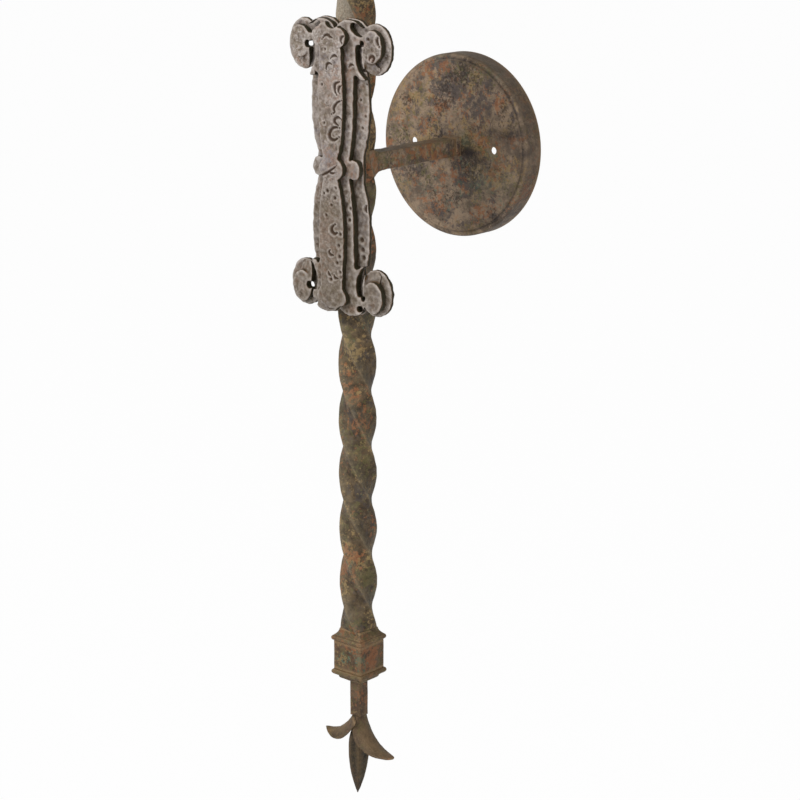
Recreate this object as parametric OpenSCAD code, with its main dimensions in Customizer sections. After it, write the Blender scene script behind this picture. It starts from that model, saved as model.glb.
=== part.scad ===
// Torch wall sconce of forged iron.
// A round canopy carries a square arm, and the arm carries a tall twisted bar.
// Three cut plates stand in front of the bar, a collar and a three-pronged
// finial close its foot, and a cup with a candle lamp closes its head.
//
// Frame: X to the right along the wall, Y into the wall, Z up.
// The origin is the centre of the canopy's back rim, on the wall.

/* [Canopy] */
// Outer diameter of the round canopy
canopy_d = 128; // [110:1:160]
// Depth of the canopy, from the wall to its front face
canopy_depth = 16.5; // [14:0.5:30]
// Thickness of the spun canopy wall
canopy_wall = 1.5; // [1:0.1:2.5]
// Radius of the canopy's rounded front edge
canopy_round = 2.5; // [1.6:0.1:4]
// Distance between the two fixing holes
screw_spacing = 71; // [60:0.5:86]
// Diameter of a fixing hole
screw_hole_d = 6.4; // [4:0.1:8]
// Distance of the bonding screw below the canopy's centre
ground_screw_drop = 38; // [24:1:46]

/* [Arm] */
// Side of the square arm
arm_side = 12.5; // [10:0.5:16]
// Distance from the wall to the bar's axis
bar_offset = 118.5; // [95:0.5:150]
// Length of the square ferrule at the canopy
ferrule_len = 5; // [3:0.5:9]
// Width that the ferrule stands out past the arm, each side
ferrule_lip = 0.7; // [0.4:0.1:3]
// Diameter of the threaded end that passes through the canopy
tenon_d = 9.5; // [7:0.5:10]
// Thickness of the washer inside the canopy
washer_t = 1.6; // [1:0.1:2.5]
// Thickness of the hexagon nut inside the canopy
nut_t = 6; // [4:0.5:7]
// Width across the flats of the nut
nut_af = 16; // [14:0.5:19]
// Reach of the forged swelling where the arm meets the bar
swell_len = 13; // [9:0.5:18]
// Width that the swelling adds on each side of the arm
swell_out = 3.4; // [1:0.1:4.5]

/* [Twisted bar] */
// Side of the square bar before it was twisted
bar_side = 19; // [16:0.5:24]
// Width of the worn flat on each corner of the bar
bar_wear = 0.6; // [0.3:0.1:2]
// Height over which the bar turns by a quarter
quarter_turn = 39.1; // [30:0.1:60]
// Turn of the bar's faces at the arm's height
bar_phase = 42; // [0:0.5:90]
// Height of the bar's foot below the arm's axis
bar_foot = 337; // [280:1:420]
// Height of the bar's head above the arm's axis
bar_head = 135.5; // [115:0.5:240]

/* [Cartouche plates] */
// Thickness of each of the three plates
plate_t = 4.7; // [3:0.1:6.5]
// Radius to which the plates' inner corners are filed
plate_fillet = 0.8; // [0.4:0.1:1.2]
// Height of the centres of the plates' upper and lower ovals
oval_z = 42; // [36:0.5:46]
// Half the width of the back plate's ovals
back_half_w = 25.9; // [23:0.1:28]
// Half the height of the back plate's ovals
back_half_h = 54.6; // [48:0.1:58]
// Half the width of the scroll plate's strip
strip_half_w = 15.7; // [13.5:0.1:17]
// Half the width of the front plate's shaft
shaft_half_w = 11.2; // [9:0.1:12]
// Distance of each volute's centre from the middle line
volute_x = 30.8; // [30:0.1:33]
// Height of each volute's centre
volute_z = 79.8; // [77:0.1:82]
// Half the width of a volute
volute_rx = 13.9; // [12.5:0.1:15]
// Half the height of a volute
volute_rz = 17.2; // [16:0.1:18]
// Width of the iron round a volute's opening
ring_w = 7.4; // [5:0.1:9]
// Distance of the humps' centres from the middle line
hump_x = 11; // [9:0.1:13]
// Half the height of a hump
hump_rz = 11; // [9:0.1:13]
// Reach of the waist knobs from the middle line
knob_reach = 21; // [19:0.1:23]
// Radius of the round ears at the front plate's head
ear_r = 6.6; // [5:0.1:8]
// Diameter of the rivets that hold the three plates together
rivet_d = 6; // [4:0.5:8]
// Height of the inner rivets above and below the arm's axis
rivet_inner_z = 28; // [20:0.5:36]
// Height of the outer rivets above and below the arm's axis
rivet_outer_z = 70; // [60:0.5:74]

/* [Foot collar] */
// Side of the square collar block
collar_side = 25.4; // [23:0.1:30]
// Height of the collar block between its mouldings
collar_block_h = 21.5; // [14:0.5:32]
// Width that the mouldings stand out past the block
mould_out = 1.5; // [0.8:0.1:3]
// Height of the moulding's rounded bead
bead_h = 3.6; // [2.5:0.1:5]
// Height of the cove that runs up the bar
cove_h = 8.6; // [5:0.1:12]

/* [Finial] */
// Side of the finial's square stem
stem_side = 9.5; // [8:0.5:12]
// Length of the stem below the collar
stem_len = 27; // [18:1:40]
// Length of the centre spike below the stem
spike_len = 60.5; // [45:0.5:80]
// Side of the spike at its widest
spike_side = 10.7; // [9.5:0.1:14]
// Reach of each leaf from the bar's axis
leaf_reach = 35.5; // [26:0.5:42]
// Drop of each leaf's tip below the stem
leaf_drop = 21; // [16:0.5:30]
// Width of a leaf at its widest
leaf_w = 18; // [12:0.5:20]
// Thickness of a leaf at its middle rib
leaf_t = 2.8; // [2:0.1:3.1]
// Depth to which a leaf's edges bend in from its middle rib
leaf_cup = 3; // [0:0.1:4]
// Turn of the two leaves about the stem
leaf_turn = 7; // [0:1:20]

/* [Torch head] */
// Height of the head collar's block
head_block_h = 16; // [10:0.5:26]
// Height of the torch cup
cup_h = 34; // [26:1:50]
// Outer diameter of the cup's rim
cup_d = 76; // [60:1:96]
// Thickness of the cup's wall
cup_wall = 2; // [1.5:0.1:3]
// Outer diameter of the candle sleeve
sleeve_d = 23; // [22:0.5:26]
// Thickness of the candle sleeve's wall
sleeve_wall = 1.2; // [0.8:0.1:1.5]
// Length of the candle sleeve
sleeve_len = 92; // [80:1:120]
// Diameter of the bulb's glass
bulb_d = 35; // [28:0.5:42]
// Height of the bulb's glass above its cap
bulb_len = 76; // [60:1:95]
// Diameter of the bulb's cap
cap_d = 12; // [11:0.1:14]
// Diameter of the threaded lamp pipe
pipe_d = 9.8; // [8:0.1:10.5]

/* [Fits] */
// Gap left at each side where a shaft runs in a hole
running_gap = 0.05; // [0.02:0.01:0.1]
// Gap left between pieces that are laid against each other
seat_gap = 0.05; // [0.02:0.01:0.2]

/* [Hidden] */

iron = [0.40, 0.35, 0.32];
plate_iron = [0.58, 0.53, 0.50];
dark_iron = [0.33, 0.28, 0.26];
steel = [0.66, 0.67, 0.69];
brass = [0.74, 0.60, 0.33];
ivory = [0.86, 0.81, 0.69];
glass = [0.93, 0.90, 0.80, 0.45];

bar_corner = bar_side / sqrt(2) - bar_wear / 2;
plate_back = bar_corner + seat_gap;
rivet_len = 2.5 * plate_t;
tenon_back = nut_t + washer_t + 2;
canopy_inside = canopy_depth - canopy_wall;
corner_wear = 0.8;
washer_d = 1.35 * nut_af;
through = 1;

collar_half = collar_side / 2;
cove_lip = 0.4;
collar_top = -bar_foot;
collar_bottom = collar_top - collar_block_h;
stem_top = collar_bottom - 2 * bead_h;
stem_bottom = stem_top - stem_len;
prong_root = stem_side / 6 - seat_gap;

head_bottom = bar_head + bead_h;
head_top = head_bottom + head_block_h;
pipe_seat = 10;
pipe_bore = pipe_d - 3;
cup_floor = head_top + 2 * bead_h;
cup_foot_r = 11;
cup_nut_t = 5;
sleeve_foot = cup_floor + cup_wall;
sleeve_top = sleeve_foot + sleeve_len;
sleeve_bore = sleeve_d - 2 * sleeve_wall;

cap_len = 22;
cap_top = sleeve_top + 4;
contact_h = 3;
contact_r = 3.4;
socket_len = 46;
socket_flange = 8;
socket_wall = 2.4;
socket_d = 2 * (cap_d / 2 + running_gap + socket_wall);
socket_foot = sleeve_top - socket_len - 2;
socket_floor = cap_top - cap_len - contact_h - seat_gap - socket_foot;
bulb_wall = 1;
filament_d = 0.8;
filament_len = 22;

// Measures of the plates' outlines. An offset is counted from the volute's
// centre, outwards and upwards.
hump_z = volute_z + 8.2;
hump_rx = 13.5;
hump_step = 0.7;
opening_offset = [-1.3, 0.7];
lobe_offset = [2, -1.8];
lobe_rx = volute_rx - 3.9;
lobe_rz = volute_rz - 2.7;
bite_offset = [15.2, -17.8];
bite_r = volute_rx - 0.9;
slot_offset = [2.2, -3.3];
slot_top = 2.7;
slot_low = 22;
eye_offset = [-8.2, 2.8];
eye_r = 1.7;
comma_offset = [-10.8, 11.8];
comma_rx = 6.2;
comma_rz = 3.1;
comma_tilt = -30;
tongue_z = volute_z - 18.4;
tongue_x = volute_x - 5.2;
tongue_r = 1.7;
knob_rx = 5.5;
knob_rz = 6.6;
waist_rx = 10.5;
waist_rz = 8.4;
ear_z = 86.3;
heel_r = 5.8;
heel_z = 85.9;
toe_rx = 11.4;
toe_rz = 9.2;
scoop_r = 5.6;
middle = 1;

// Points of an ellipse's arc, from angle a0 to a1 in n steps
function arc(cx, cz, rx, rz, a0, a1, n) =
    [for (i = [0:n]) let(a = a0 + (a1 - a0) * i / n) [cx + rx * cos(a), cz + rz * sin(a)]];

// Corners of a square of half side h at height z, turned by a degrees, with worn corners
function worn_square(h, wear, z, a) =
    [for (k = [0:3]) for (s = [-1, 1])
        let(c = 45 + 90 * k + a, r = h * sqrt(2) - wear / 2, t = s * wear / 2)
        [r * cos(c) - t * sin(c), r * sin(c) + t * cos(c), z]];

// Closed solid through a list of loops that all have the same number of points
module loft(loops) {
    n = len(loops[0]);
    m = len(loops);
    polyhedron(
        points = [for (loop = loops) each loop],
        faces = concat(
            [[for (i = [0:n - 1]) i]],
            [for (k = [0:m - 2]) for (i = [0:n - 1])
                [k * n + i, (k + 1) * n + i, (k + 1) * n + (i + 1) % n]],
            [for (k = [0:m - 2]) for (i = [0:n - 1])
                [k * n + i, (k + 1) * n + (i + 1) % n, k * n + (i + 1) % n]],
            [[for (i = [n - 1:-1:0]) (m - 1) * n + i]]),
        convexity = 6);
}

// Filled ellipse
module oval(cx, cz, rx, rz, n = 48) polygon(arc(cx, cz, rx, rz, 0, 360 * (n - 1) / n, n - 1));

// Copies to the left and to the foot of the cartouche
module left_and_right() for (s = [0, 1]) mirror([s, 0, 0]) children();
module top_and_foot() for (t = [0, 1]) mirror([0, t, 0]) children();
module four_ways() left_and_right() top_and_foot() children();

// A plate of the stack, counted from the bar outwards, with its inner corners filed round
module plate(layer) translate([0, -bar_offset - plate_back - layer * plate_t, 0])
    rotate([90, 0, 0]) linear_extrude(plate_t)
        offset(r = -plate_fillet) offset(delta = plate_fillet) children();

// The bar's own line in space
module on_bar() translate([0, -bar_offset, 0]) children();

// Cutter for a hole that a shaft of diameter d runs in, past both ends of a height h
module running_bore(d, h) translate([0, 0, -through])
    cylinder(d = d + 2 * running_gap, h = h + 2 * through, $fn = 48);

// ---------------------------------------------------------------- canopy

module canopy_profile(inset) {
    r = canopy_d / 2 - inset;
    h = canopy_depth - inset;
    e = max(0.2, canopy_round - inset);
    polygon(concat([[0, inset == 0 ? 0 : -through], [r, inset == 0 ? 0 : -through]],
        arc(r - e, h - e, e, e, 0, 90, 8), [[0, h]]));
}

module canopy() color(iron) difference() {
    rotate([90, 0, 0]) rotate_extrude($fn = 96) canopy_profile(0);
    rotate([90, 0, 0]) rotate_extrude($fn = 96) canopy_profile(canopy_wall);
    for (s = [-1, 1]) translate([s * screw_spacing / 2, through, 0])
        rotate([90, 0, 0]) cylinder(d = screw_hole_d, h = canopy_depth + 2 * through, $fn = 48);
    translate([0, through, 0]) rotate([90, 0, 0])
        cylinder(d = tenon_d + 4 * running_gap, h = canopy_depth + 2 * through, $fn = 48);
}

// Bonding screw inside the canopy: shank, flange and domed head
module ground_screw() color(brass) {
    shank = [2, 3];
    head = [4, 1.8];
    translate([0, -canopy_inside, -ground_screw_drop]) rotate([-90, 0, 0])
        rotate_extrude($fn = 32) polygon(concat(
            [[0, 0], [shank[0], 0], shank, [head[0], shank[1]]],
            arc(0, shank[1] + 1, head[0], head[1], 0, 90, 6)));
}

// ------------------------------------------------------------------- arm

// Half the arm's side at a share t of the way along its forged swelling
function swell(t) = arm_side / 2 + swell_out * (1 - cos(90 * t));

// The solid of the twisted bar, with its side widened by a seat's gap
module twisted_solid(extra) {
    steps = ceil((bar_head + bar_foot) / quarter_turn * 9);
    loft([for (i = [0:steps])
        let(z = -bar_foot + (bar_head + bar_foot) * i / steps)
        worn_square(bar_side / 2 + extra, bar_wear, z, bar_phase - 90 * z / quarter_turn)]);
}

module arm() color(iron) {
    difference() {
        union() {
            translate([-arm_side / 2, -bar_offset, -arm_side / 2])
                cube([arm_side, bar_offset - canopy_depth - ferrule_len, arm_side]);
            translate([0, -bar_offset, 0]) rotate([-90, 0, 0])
                loft([for (i = [0:6]) let(t = 1 - i / 6, h = swell(t))
                    worn_square(h, corner_wear, bar_side / 2 - 2 + swell_len * (1 - t), 0)]);
        }
        on_bar() twisted_solid(seat_gap);
    }
    translate([0, -canopy_depth - ferrule_len, 0]) rotate([-90, 0, 0])
        cylinder(d = tenon_d, h = ferrule_len + canopy_wall + tenon_back, $fn = 48);
}

module arm_ferrule() color(plate_iron) {
    h = arm_side / 2 + ferrule_lip;
    difference() {
        translate([0, -canopy_depth - ferrule_len, 0]) rotate([-90, 0, 0])
            loft([worn_square(arm_side / 2, corner_wear, 0, 0),
                worn_square(h, corner_wear, ferrule_len * 0.35, 0),
                worn_square(h, corner_wear, ferrule_len, 0)]);
        translate([0, -canopy_depth - ferrule_len, 0]) rotate([-90, 0, 0]) running_bore(tenon_d, ferrule_len);
    }
}

module arm_washer() color(steel) translate([0, -canopy_inside, 0]) rotate([-90, 0, 0])
    difference() {
        cylinder(d = washer_d, h = washer_t, $fn = 48);
        running_bore(tenon_d, washer_t);
    }

module arm_nut() color(steel) translate([0, -canopy_inside + washer_t, 0]) rotate([-90, 0, 0])
    difference() {
        cylinder(d = nut_af / cos(30), h = nut_t, $fn = 6);
        running_bore(tenon_d, nut_t);
    }

// ------------------------------------------------------------ twisted bar

module twisted_bar() color(iron) on_bar() twisted_solid(0);

// ------------------------------------------------------- cartouche plates

// Two tall ovals, one above the other, that meet in a pinched waist
module twin_ovals(half_w, half_h, top) intersection() {
    top_and_foot() oval(0, oval_z, half_w, half_h, 72);
    square([2 * half_w + 2, 2 * top], center = true);
}

// The two humps between the volutes, lowered by drop
module humps(drop) intersection() {
    four_ways() oval(hump_x, hump_z, hump_rx - drop, hump_rz - drop);
    square([2 * (hump_x + hump_rx), 4 * volute_z], center = true);
}

// Outline of the rear plate: ovals, four open volute rings and the humps
module back_outline() difference() {
    union() {
        twin_ovals(back_half_w, back_half_h, volute_z - volute_rz + 2);
        square([2 * strip_half_w + 10, 2 * volute_z + 16], center = true);
        humps(0);
        four_ways() oval(volute_x, volute_z, volute_rx, volute_rz, 60);
    }
    four_ways() oval(volute_x + opening_offset[0], volute_z + opening_offset[1],
        volute_rx - ring_w, volute_rz - ring_w, 36);
}

// The full lobe of a volute
module lobe_oval() oval(volute_x + lobe_offset[0], volute_z + lobe_offset[1], lobe_rx, lobe_rz);

// The volute's inner lobe, a comma whose tail runs down on to the ring
module lobe() difference() {
    lobe_oval();
    translate([volute_x + bite_offset[0], volute_z + bite_offset[1]]) circle(r = bite_r, $fn = 40);
}

// The crescent slot between the neck and the lobe
module neck_slot() difference() {
    intersection() {
        oval(volute_x + slot_offset[0], volute_z + slot_offset[1], volute_rx + 0.6, volute_rz, 60);
        translate([0, volute_z - slot_low]) square([volute_x + 1, slot_low + slot_top]);
    }
    lobe_oval();
}

// Neck and tongue at one corner of the scroll plate
module neck() polygon(concat(
    [[-middle, oval_z], [strip_half_w, oval_z], [strip_half_w + 0.6, tongue_z],
        [strip_half_w + 2.1, tongue_z + 1.2], [tongue_x - 3.3, tongue_z - 1.2]],
    arc(tongue_x, tongue_z, tongue_r, tongue_r, -110, 60, 6),
    [[tongue_x - 1.6, volute_z + 7], [hump_x, hump_z + 1], [-middle, hump_z + 1]]));

// Outline of the middle plate: strip, waist knobs, necks, humps and volute lobes
module scroll_outline() difference() {
    union() {
        twin_ovals(strip_half_w, back_half_h - hump_step, oval_z + 10);
        intersection() {
            humps(hump_step);
            top_and_foot() translate([-volute_x, volute_z]) square([2 * volute_x, 2 * hump_rz]);
        }
        four_ways() {
            neck();
            lobe();
        }
        left_and_right() {
            translate([-middle, -knob_rz + 0.6]) square([knob_reach - 2, 2 * knob_rz - 1.2]);
            oval(knob_reach - knob_rx, 0, knob_rx, knob_rz, 32);
        }
    }
    four_ways() {
        neck_slot();
        translate([volute_x + comma_offset[0], volute_z + comma_offset[1]])
            rotate(comma_tilt) oval(0, 0, comma_rx, comma_rz, 24);
        translate([volute_x + eye_offset[0], volute_z + eye_offset[1]]) circle(r = eye_r, $fn = 24);
    }
}

// Outline of the front plate: shaft, waist, ears at both ends and the scoop at the top
module front_outline() difference() {
    union() {
        twin_ovals(shaft_half_w, oval_z, oval_z);
        four_ways() polygon([[-middle, oval_z - 2], [shaft_half_w, oval_z - 2],
            [shaft_half_w, oval_z + 8], [shaft_half_w - 1.5, volute_z], [-middle, volute_z]]);
        oval(0, 0, waist_rx, waist_rz, 36);
        left_and_right() {
            translate([ear_r + 2.7, ear_z]) circle(r = ear_r, $fn = 36);
            translate([heel_r + 1.2, -heel_z]) circle(r = heel_r, $fn = 36);
        }
        translate([-ear_r - 2.7, volute_z - 2]) square([2 * ear_r + 5.4, ear_z + ear_r + 3.7 - volute_z]);
        oval(0, -heel_z + 1.3, toe_rx, toe_rz, 40);
    }
    translate([1.4, ear_z + 2 * scoop_r]) circle(r = scoop_r, $fn = 32);
}

// The four rivets' room, widened by extra and carried on for a length towards the front
module rivet_row(extra, length) for (z = [-rivet_outer_z, -rivet_inner_z, rivet_inner_z, rivet_outer_z])
    translate([0, -bar_offset - plate_back, z]) rotate([90, 0, 0])
        cylinder(d = rivet_d + 2 * extra, h = length, $fn = 32);

module back_plate() color(plate_iron) difference() {
    plate(0) back_outline();
    translate([0, through, 0]) rivet_row(running_gap, plate_t + 2 * through);
}

module scroll_plate() color(plate_iron) difference() {
    plate(1) scroll_outline();
    translate([0, through, 0]) rivet_row(running_gap, 2 * plate_t + 2 * through);
}

module front_plate() color(plate_iron) difference() {
    plate(2) front_outline();
    rivet_row(running_gap, rivet_len + seat_gap);
}

module plate_rivets() color(dark_iron) rivet_row(0, rivet_len);

// ------------------------------------------------------------ square collars

// Half-widths of a rounded bead that stands out past the block, from its foot up
function bead(z0, half) = [for (i = [0:6]) let(a = -90 + 30 * i)
    [z0 + bead_h / 2 * (1 + sin(a)), half + mould_out * cos(a)]];

// Half-width of the cove at a share t of its way from the block to the bar
function cove_half(t) = bar_side / 2 + cove_lip + (collar_half - bar_side / 2) * pow(1 - t, 2);

// A solid of square plan whose half-width follows a list of heights and widths
module square_turned(profile) loft([for (p = profile) worn_square(p[1], corner_wear, p[0], 0)]);

// Bead and cove that run up the bar from the height 0
module cove_moulding() square_turned(concat(bead(0, collar_half),
    [for (i = [1:6]) [bead_h + (cove_h - bead_h) * i / 6, cove_half(i / 6)]]));

// Two beads below the height 0, the lower one narrower
module double_bead() square_turned(concat(
    bead(-2 * bead_h, collar_half - mould_out), bead(-bead_h, collar_half)));

module foot_collar_cove() color(iron) on_bar() difference() {
    translate([0, 0, collar_top]) cove_moulding();
    twisted_solid(seat_gap);
}

module foot_collar_block() color(iron) on_bar()
    square_turned([[collar_bottom, collar_half], [collar_top, collar_half]]);

module foot_collar_bead() color(iron) on_bar() translate([0, 0, collar_bottom]) double_bead();

// ---------------------------------------------------------------- finial

module finial_stem() color(iron) on_bar()
    square_turned([[stem_bottom, stem_side / 2], [stem_top, stem_side / 2]]);

// The three prongs are the stem split in three, so each starts a third of it wide.
// Half the spike's side at a share t of its length: it swells, then tapers to a point.
function spike_half(t) = let(swell = 0.42) t < swell
    ? stem_side / 2 + (spike_side - stem_side) / 2 * sin(90 * t / swell)
    : max(0.3, spike_side / 2 * pow(cos(90 * (t - swell) / (1 - swell)), 0.8));

// Half the spike's thickness between the leaves: thin at the split, full below it
function spike_half_x(t) = let(split = 0.36) t < split
    ? prong_root + (spike_half(t) - prong_root) * (1 - cos(180 * t / split)) / 2
    : spike_half(t);

// Loop of a square with rounded corners, hx and hy half wide
function soft_square(hx, hy, z) = [for (i = [0:15])
    let(a = 22.5 * i, r = pow(pow(abs(cos(a)), 5) + pow(abs(sin(a)), 5), -0.2))
    [hx * r * cos(a), hy * r * sin(a), z]];

module finial_spike() color(iron) on_bar()
    loft([for (i = [20:-1:0]) let(t = i / 20)
        soft_square(spike_half_x(t), spike_half(t), stem_bottom - spike_len * t)]);

// A leaf's middle rib: it leaves the stem downwards and turns out
function leaf_x(t) = stem_side / 3 + (leaf_reach - stem_side / 3) * pow(t, 1.55);
function leaf_z(t) = stem_bottom - leaf_drop * sin(90 * pow(t, 0.9));
function leaf_half_w(t) = t < 0.4
    ? stem_side / 2 + (leaf_w - stem_side) / 2 * sin(225 * t)
    : max(0.4, leaf_w / 2 * pow(cos(150 * (t - 0.4)), 0.62));
function leaf_half_t(t) = leaf_t / 2 * (1 - 0.62 * t);

// Depth to which the leaf's section bends in at a distance v from the rib
function leaf_bend(t, v) = leaf_cup * min(1, 4 * t) * pow(2 * v / leaf_w, 2);

// Lens-shaped section of the leaf, square to its middle rib
function leaf_loop(t) =
    let(e = 0.004, dx = leaf_x(t + e) - leaf_x(t), dz = leaf_z(t + e) - leaf_z(t),
        l = norm([dx, dz]), nx = t == 0 ? 1 : -dz / l, nz = t == 0 ? 0 : dx / l)
    [for (i = [0:15]) let(a = 22.5 * i, r = pow(pow(abs(cos(a)), 4) + pow(abs(sin(a)), 4), -0.25),
        v = leaf_half_w(t) * r * sin(a), u = leaf_half_t(t) * r * cos(a) - leaf_bend(t, v))
        [leaf_x(t) + u * nx, v, leaf_z(t) + u * nz]];

module leaf() loft([for (i = [18:-1:0]) leaf_loop(min(i / 18, 0.995))]);

module finial_leaf_right() color(iron) on_bar() rotate([0, 0, -leaf_turn]) leaf();
module finial_leaf_left() color(iron) on_bar() rotate([0, 0, 180 - leaf_turn]) leaf();

// ------------------------------------------------------------ torch head

module head_collar_bead() color(iron) on_bar() difference() {
    translate([0, 0, head_bottom]) mirror([0, 0, 1]) cove_moulding();
    twisted_solid(seat_gap);
}

module head_collar_block() color(iron) on_bar() difference() {
    square_turned([[head_bottom, collar_half], [head_top, collar_half]]);
    translate([0, 0, head_top - pipe_seat + through]) running_bore(pipe_d, pipe_seat);
}

module head_collar_cap() color(iron) on_bar() difference() {
    translate([0, 0, cup_floor]) mirror([0, 0, 1]) translate([0, 0, 2 * bead_h]) double_bead();
    translate([0, 0, head_top]) running_bore(pipe_d, 2 * bead_h);
}

// Outer radius of the cup at a share t of its height: a foot, a full belly and a flared lip
function cup_r(t) = cup_foot_r
    + (cup_d / 2 - cup_foot_r) * (0.74 * (1 - pow(1 - t, 2.6)) + 0.26 * pow(t, 4));

module torch_cup() color(iron) on_bar() translate([0, 0, cup_floor]) difference() {
    rotate_extrude($fn = 72) polygon(concat(
        [[0, 0]],
        [for (i = [0:19]) [cup_r(i / 20), cup_h * i / 20]],
        arc(cup_d / 2 - cup_wall / 2, cup_h, cup_wall / 2, cup_wall / 2, 0, 180, 6),
        [for (i = [19:-1:0]) let(z = cup_wall + (cup_h - cup_wall) * i / 20)
            [cup_r(z / cup_h) - cup_wall, z]],
        [[0, cup_wall]]));
    running_bore(pipe_d, cup_wall);
}

// Hollow threaded pipe from the head collar to the lamp socket
module lamp_pipe() color(steel) on_bar() translate([0, 0, head_top - pipe_seat]) difference() {
    cylinder(d = pipe_d, h = socket_foot - head_top + pipe_seat, $fn = 48);
    translate([0, 0, -through])
        cylinder(d = pipe_bore, h = socket_foot - head_top + pipe_seat + 2 * through, $fn = 48);
}

module cup_nut() color(brass) on_bar() translate([0, 0, sleeve_foot]) difference() {
    cylinder(d = nut_af / cos(30), h = cup_nut_t, $fn = 6);
    running_bore(pipe_d, cup_nut_t);
}

module candle_sleeve() color(ivory) on_bar() translate([0, 0, sleeve_foot]) difference() {
    cylinder(d = sleeve_d, h = sleeve_len, $fn = 64);
    translate([0, 0, -through]) cylinder(d = sleeve_bore, h = sleeve_len + 2 * through, $fn = 64);
}

// Socket with a flange that centres it in the sleeve and a way for the wires
module lamp_socket() color("black") on_bar() translate([0, 0, socket_foot]) difference() {
    union() {
        cylinder(d = socket_d, h = socket_len, $fn = 64);
        cylinder(d = sleeve_bore - 2 * running_gap, h = socket_flange, $fn = 64);
    }
    translate([0, 0, socket_floor]) cylinder(d = cap_d + 2 * running_gap, h = socket_len, $fn = 64);
    translate([0, 0, -through]) cylinder(d = 4, h = socket_floor + 2 * through, $fn = 32);
}

// Sprung centre contact on the socket's floor
module socket_contact() color(brass) on_bar() translate([0, 0, socket_foot + socket_floor])
    rotate_extrude($fn = 32) polygon([[0, -5], [2, -5], [2, 0], [contact_r, 0],
        [contact_r, 0.8], [1.6, contact_h], [0, contact_h]]);

module bulb_cap() color(brass) on_bar() translate([0, 0, cap_top]) rotate_extrude($fn = 64) polygon([
    [0, -cap_len], [2.4, -cap_len], [cap_d / 2 - 2, 3 - cap_len],
    [cap_d / 2, 5 - cap_len], [cap_d / 2, 0], [0, 0]]);

// Radius of the flame-shaped glass at a share t of its height
function flame_r(t) = let(belly = 0.38) t < belly
    ? cap_d / 2 + (bulb_d - cap_d) / 2 * sin(90 * t / belly)
    : bulb_d / 2 * pow(cos(90 * (t - belly) / (1 - belly)), 0.9) * (1 - 0.25 * (t - belly)) + 0.01;

module bulb_glass() color(glass) on_bar() translate([0, 0, cap_top]) rotate_extrude($fn = 64)
    polygon(concat(
        [for (i = [0:28]) [flame_r(i / 28), bulb_len * i / 28]],
        [[0, bulb_len], [0, bulb_len - 3 * bulb_wall]],
        [for (i = [26:-1:0]) let(t = i / 28)
            [max(0.2, flame_r(t) - bulb_wall), (bulb_len - 3 * bulb_wall) * t]]));

// Stem press with the two wires that carry the filament
module bulb_filament() color(steel) on_bar() translate([0, 0, cap_top]) {
    cylinder(r1 = 3, r2 = 1.4, h = 16, $fn = 24);
    left_and_right() translate([1, 0, 14]) rotate([0, 14, 0])
        cylinder(d = filament_d, h = filament_len, $fn = 16);
}

canopy();
ground_screw();
arm();
arm_ferrule();
arm_washer();
arm_nut();
twisted_bar();
back_plate();
scroll_plate();
front_plate();
plate_rivets();
foot_collar_cove();
foot_collar_block();
foot_collar_bead();
finial_stem();
finial_spike();
finial_leaf_left();
finial_leaf_right();
head_collar_bead();
head_collar_block();
head_collar_cap();
torch_cup();
lamp_pipe();
cup_nut();
candle_sleeve();
lamp_socket();
socket_contact();
bulb_cap();
bulb_glass();
bulb_filament();
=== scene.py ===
"""Looks of a forged torch sconce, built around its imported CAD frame.

The frame is the model's own: X runs along the wall, Y into it and Z up, with
the origin at the centre of the canopy's back rim. Shapes are worked out in
millimetres and put into their meshes in metres.
"""

from __future__ import annotations

import functools
import logging
import math
import operator
from dataclasses import dataclass, field
from enum import Enum
from itertools import product
from typing import Callable, Optional, Sequence, Union

import bmesh
import bpy
import numpy as np
from mathutils import Matrix, Vector


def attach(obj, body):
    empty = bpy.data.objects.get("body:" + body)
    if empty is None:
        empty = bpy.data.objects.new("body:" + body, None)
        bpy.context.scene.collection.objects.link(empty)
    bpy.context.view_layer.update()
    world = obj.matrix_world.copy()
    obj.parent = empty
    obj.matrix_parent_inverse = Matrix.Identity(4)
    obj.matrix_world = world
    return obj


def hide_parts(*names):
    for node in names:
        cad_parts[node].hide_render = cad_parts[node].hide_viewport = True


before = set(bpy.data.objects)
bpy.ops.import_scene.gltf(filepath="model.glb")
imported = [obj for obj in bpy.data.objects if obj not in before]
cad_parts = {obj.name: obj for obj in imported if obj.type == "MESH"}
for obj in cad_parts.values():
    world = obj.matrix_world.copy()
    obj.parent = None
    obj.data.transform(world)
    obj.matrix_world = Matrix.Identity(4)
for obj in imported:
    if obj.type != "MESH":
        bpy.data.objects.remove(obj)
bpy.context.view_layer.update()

MM = 0.001
BAR_OFFSET = 118.5  # from the wall to the bar's axis, in millimetres
Array = np.ndarray
Colour = tuple[float, float, float]
log = logging.getLogger("sconce")


class Body(Enum):
    """Moving bodies of the model."""

    IRONWORK = "root"
    LAMP = "bulb"


class Slot(Enum):
    """Material slots of the model's record."""

    IRON = "rust_iron"
    PLATE = "plate_iron"
    STEEL = "steel"
    BRASS = "brass"
    CANDLE = "candle"
    SOCKET = "socket"
    GLASS = "glass"


def paint(red: float, green: float, blue: float) -> Colour:
    """Linear colour of a display colour.

    Args:
        red: Display value from 0 to 255.
        green: Display value from 0 to 255.
        blue: Display value from 0 to 255.

    Returns:
        The colour as linear light, from 0 to 1.
    """
    shares = (value / 255 for value in (red, green, blue))
    return tuple(s / 12.92 if s <= 0.04045 else ((s + 0.055) / 1.055) ** 2.4 for s in shares)


# ---------------------------------------------------------------- rough numbers


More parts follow.
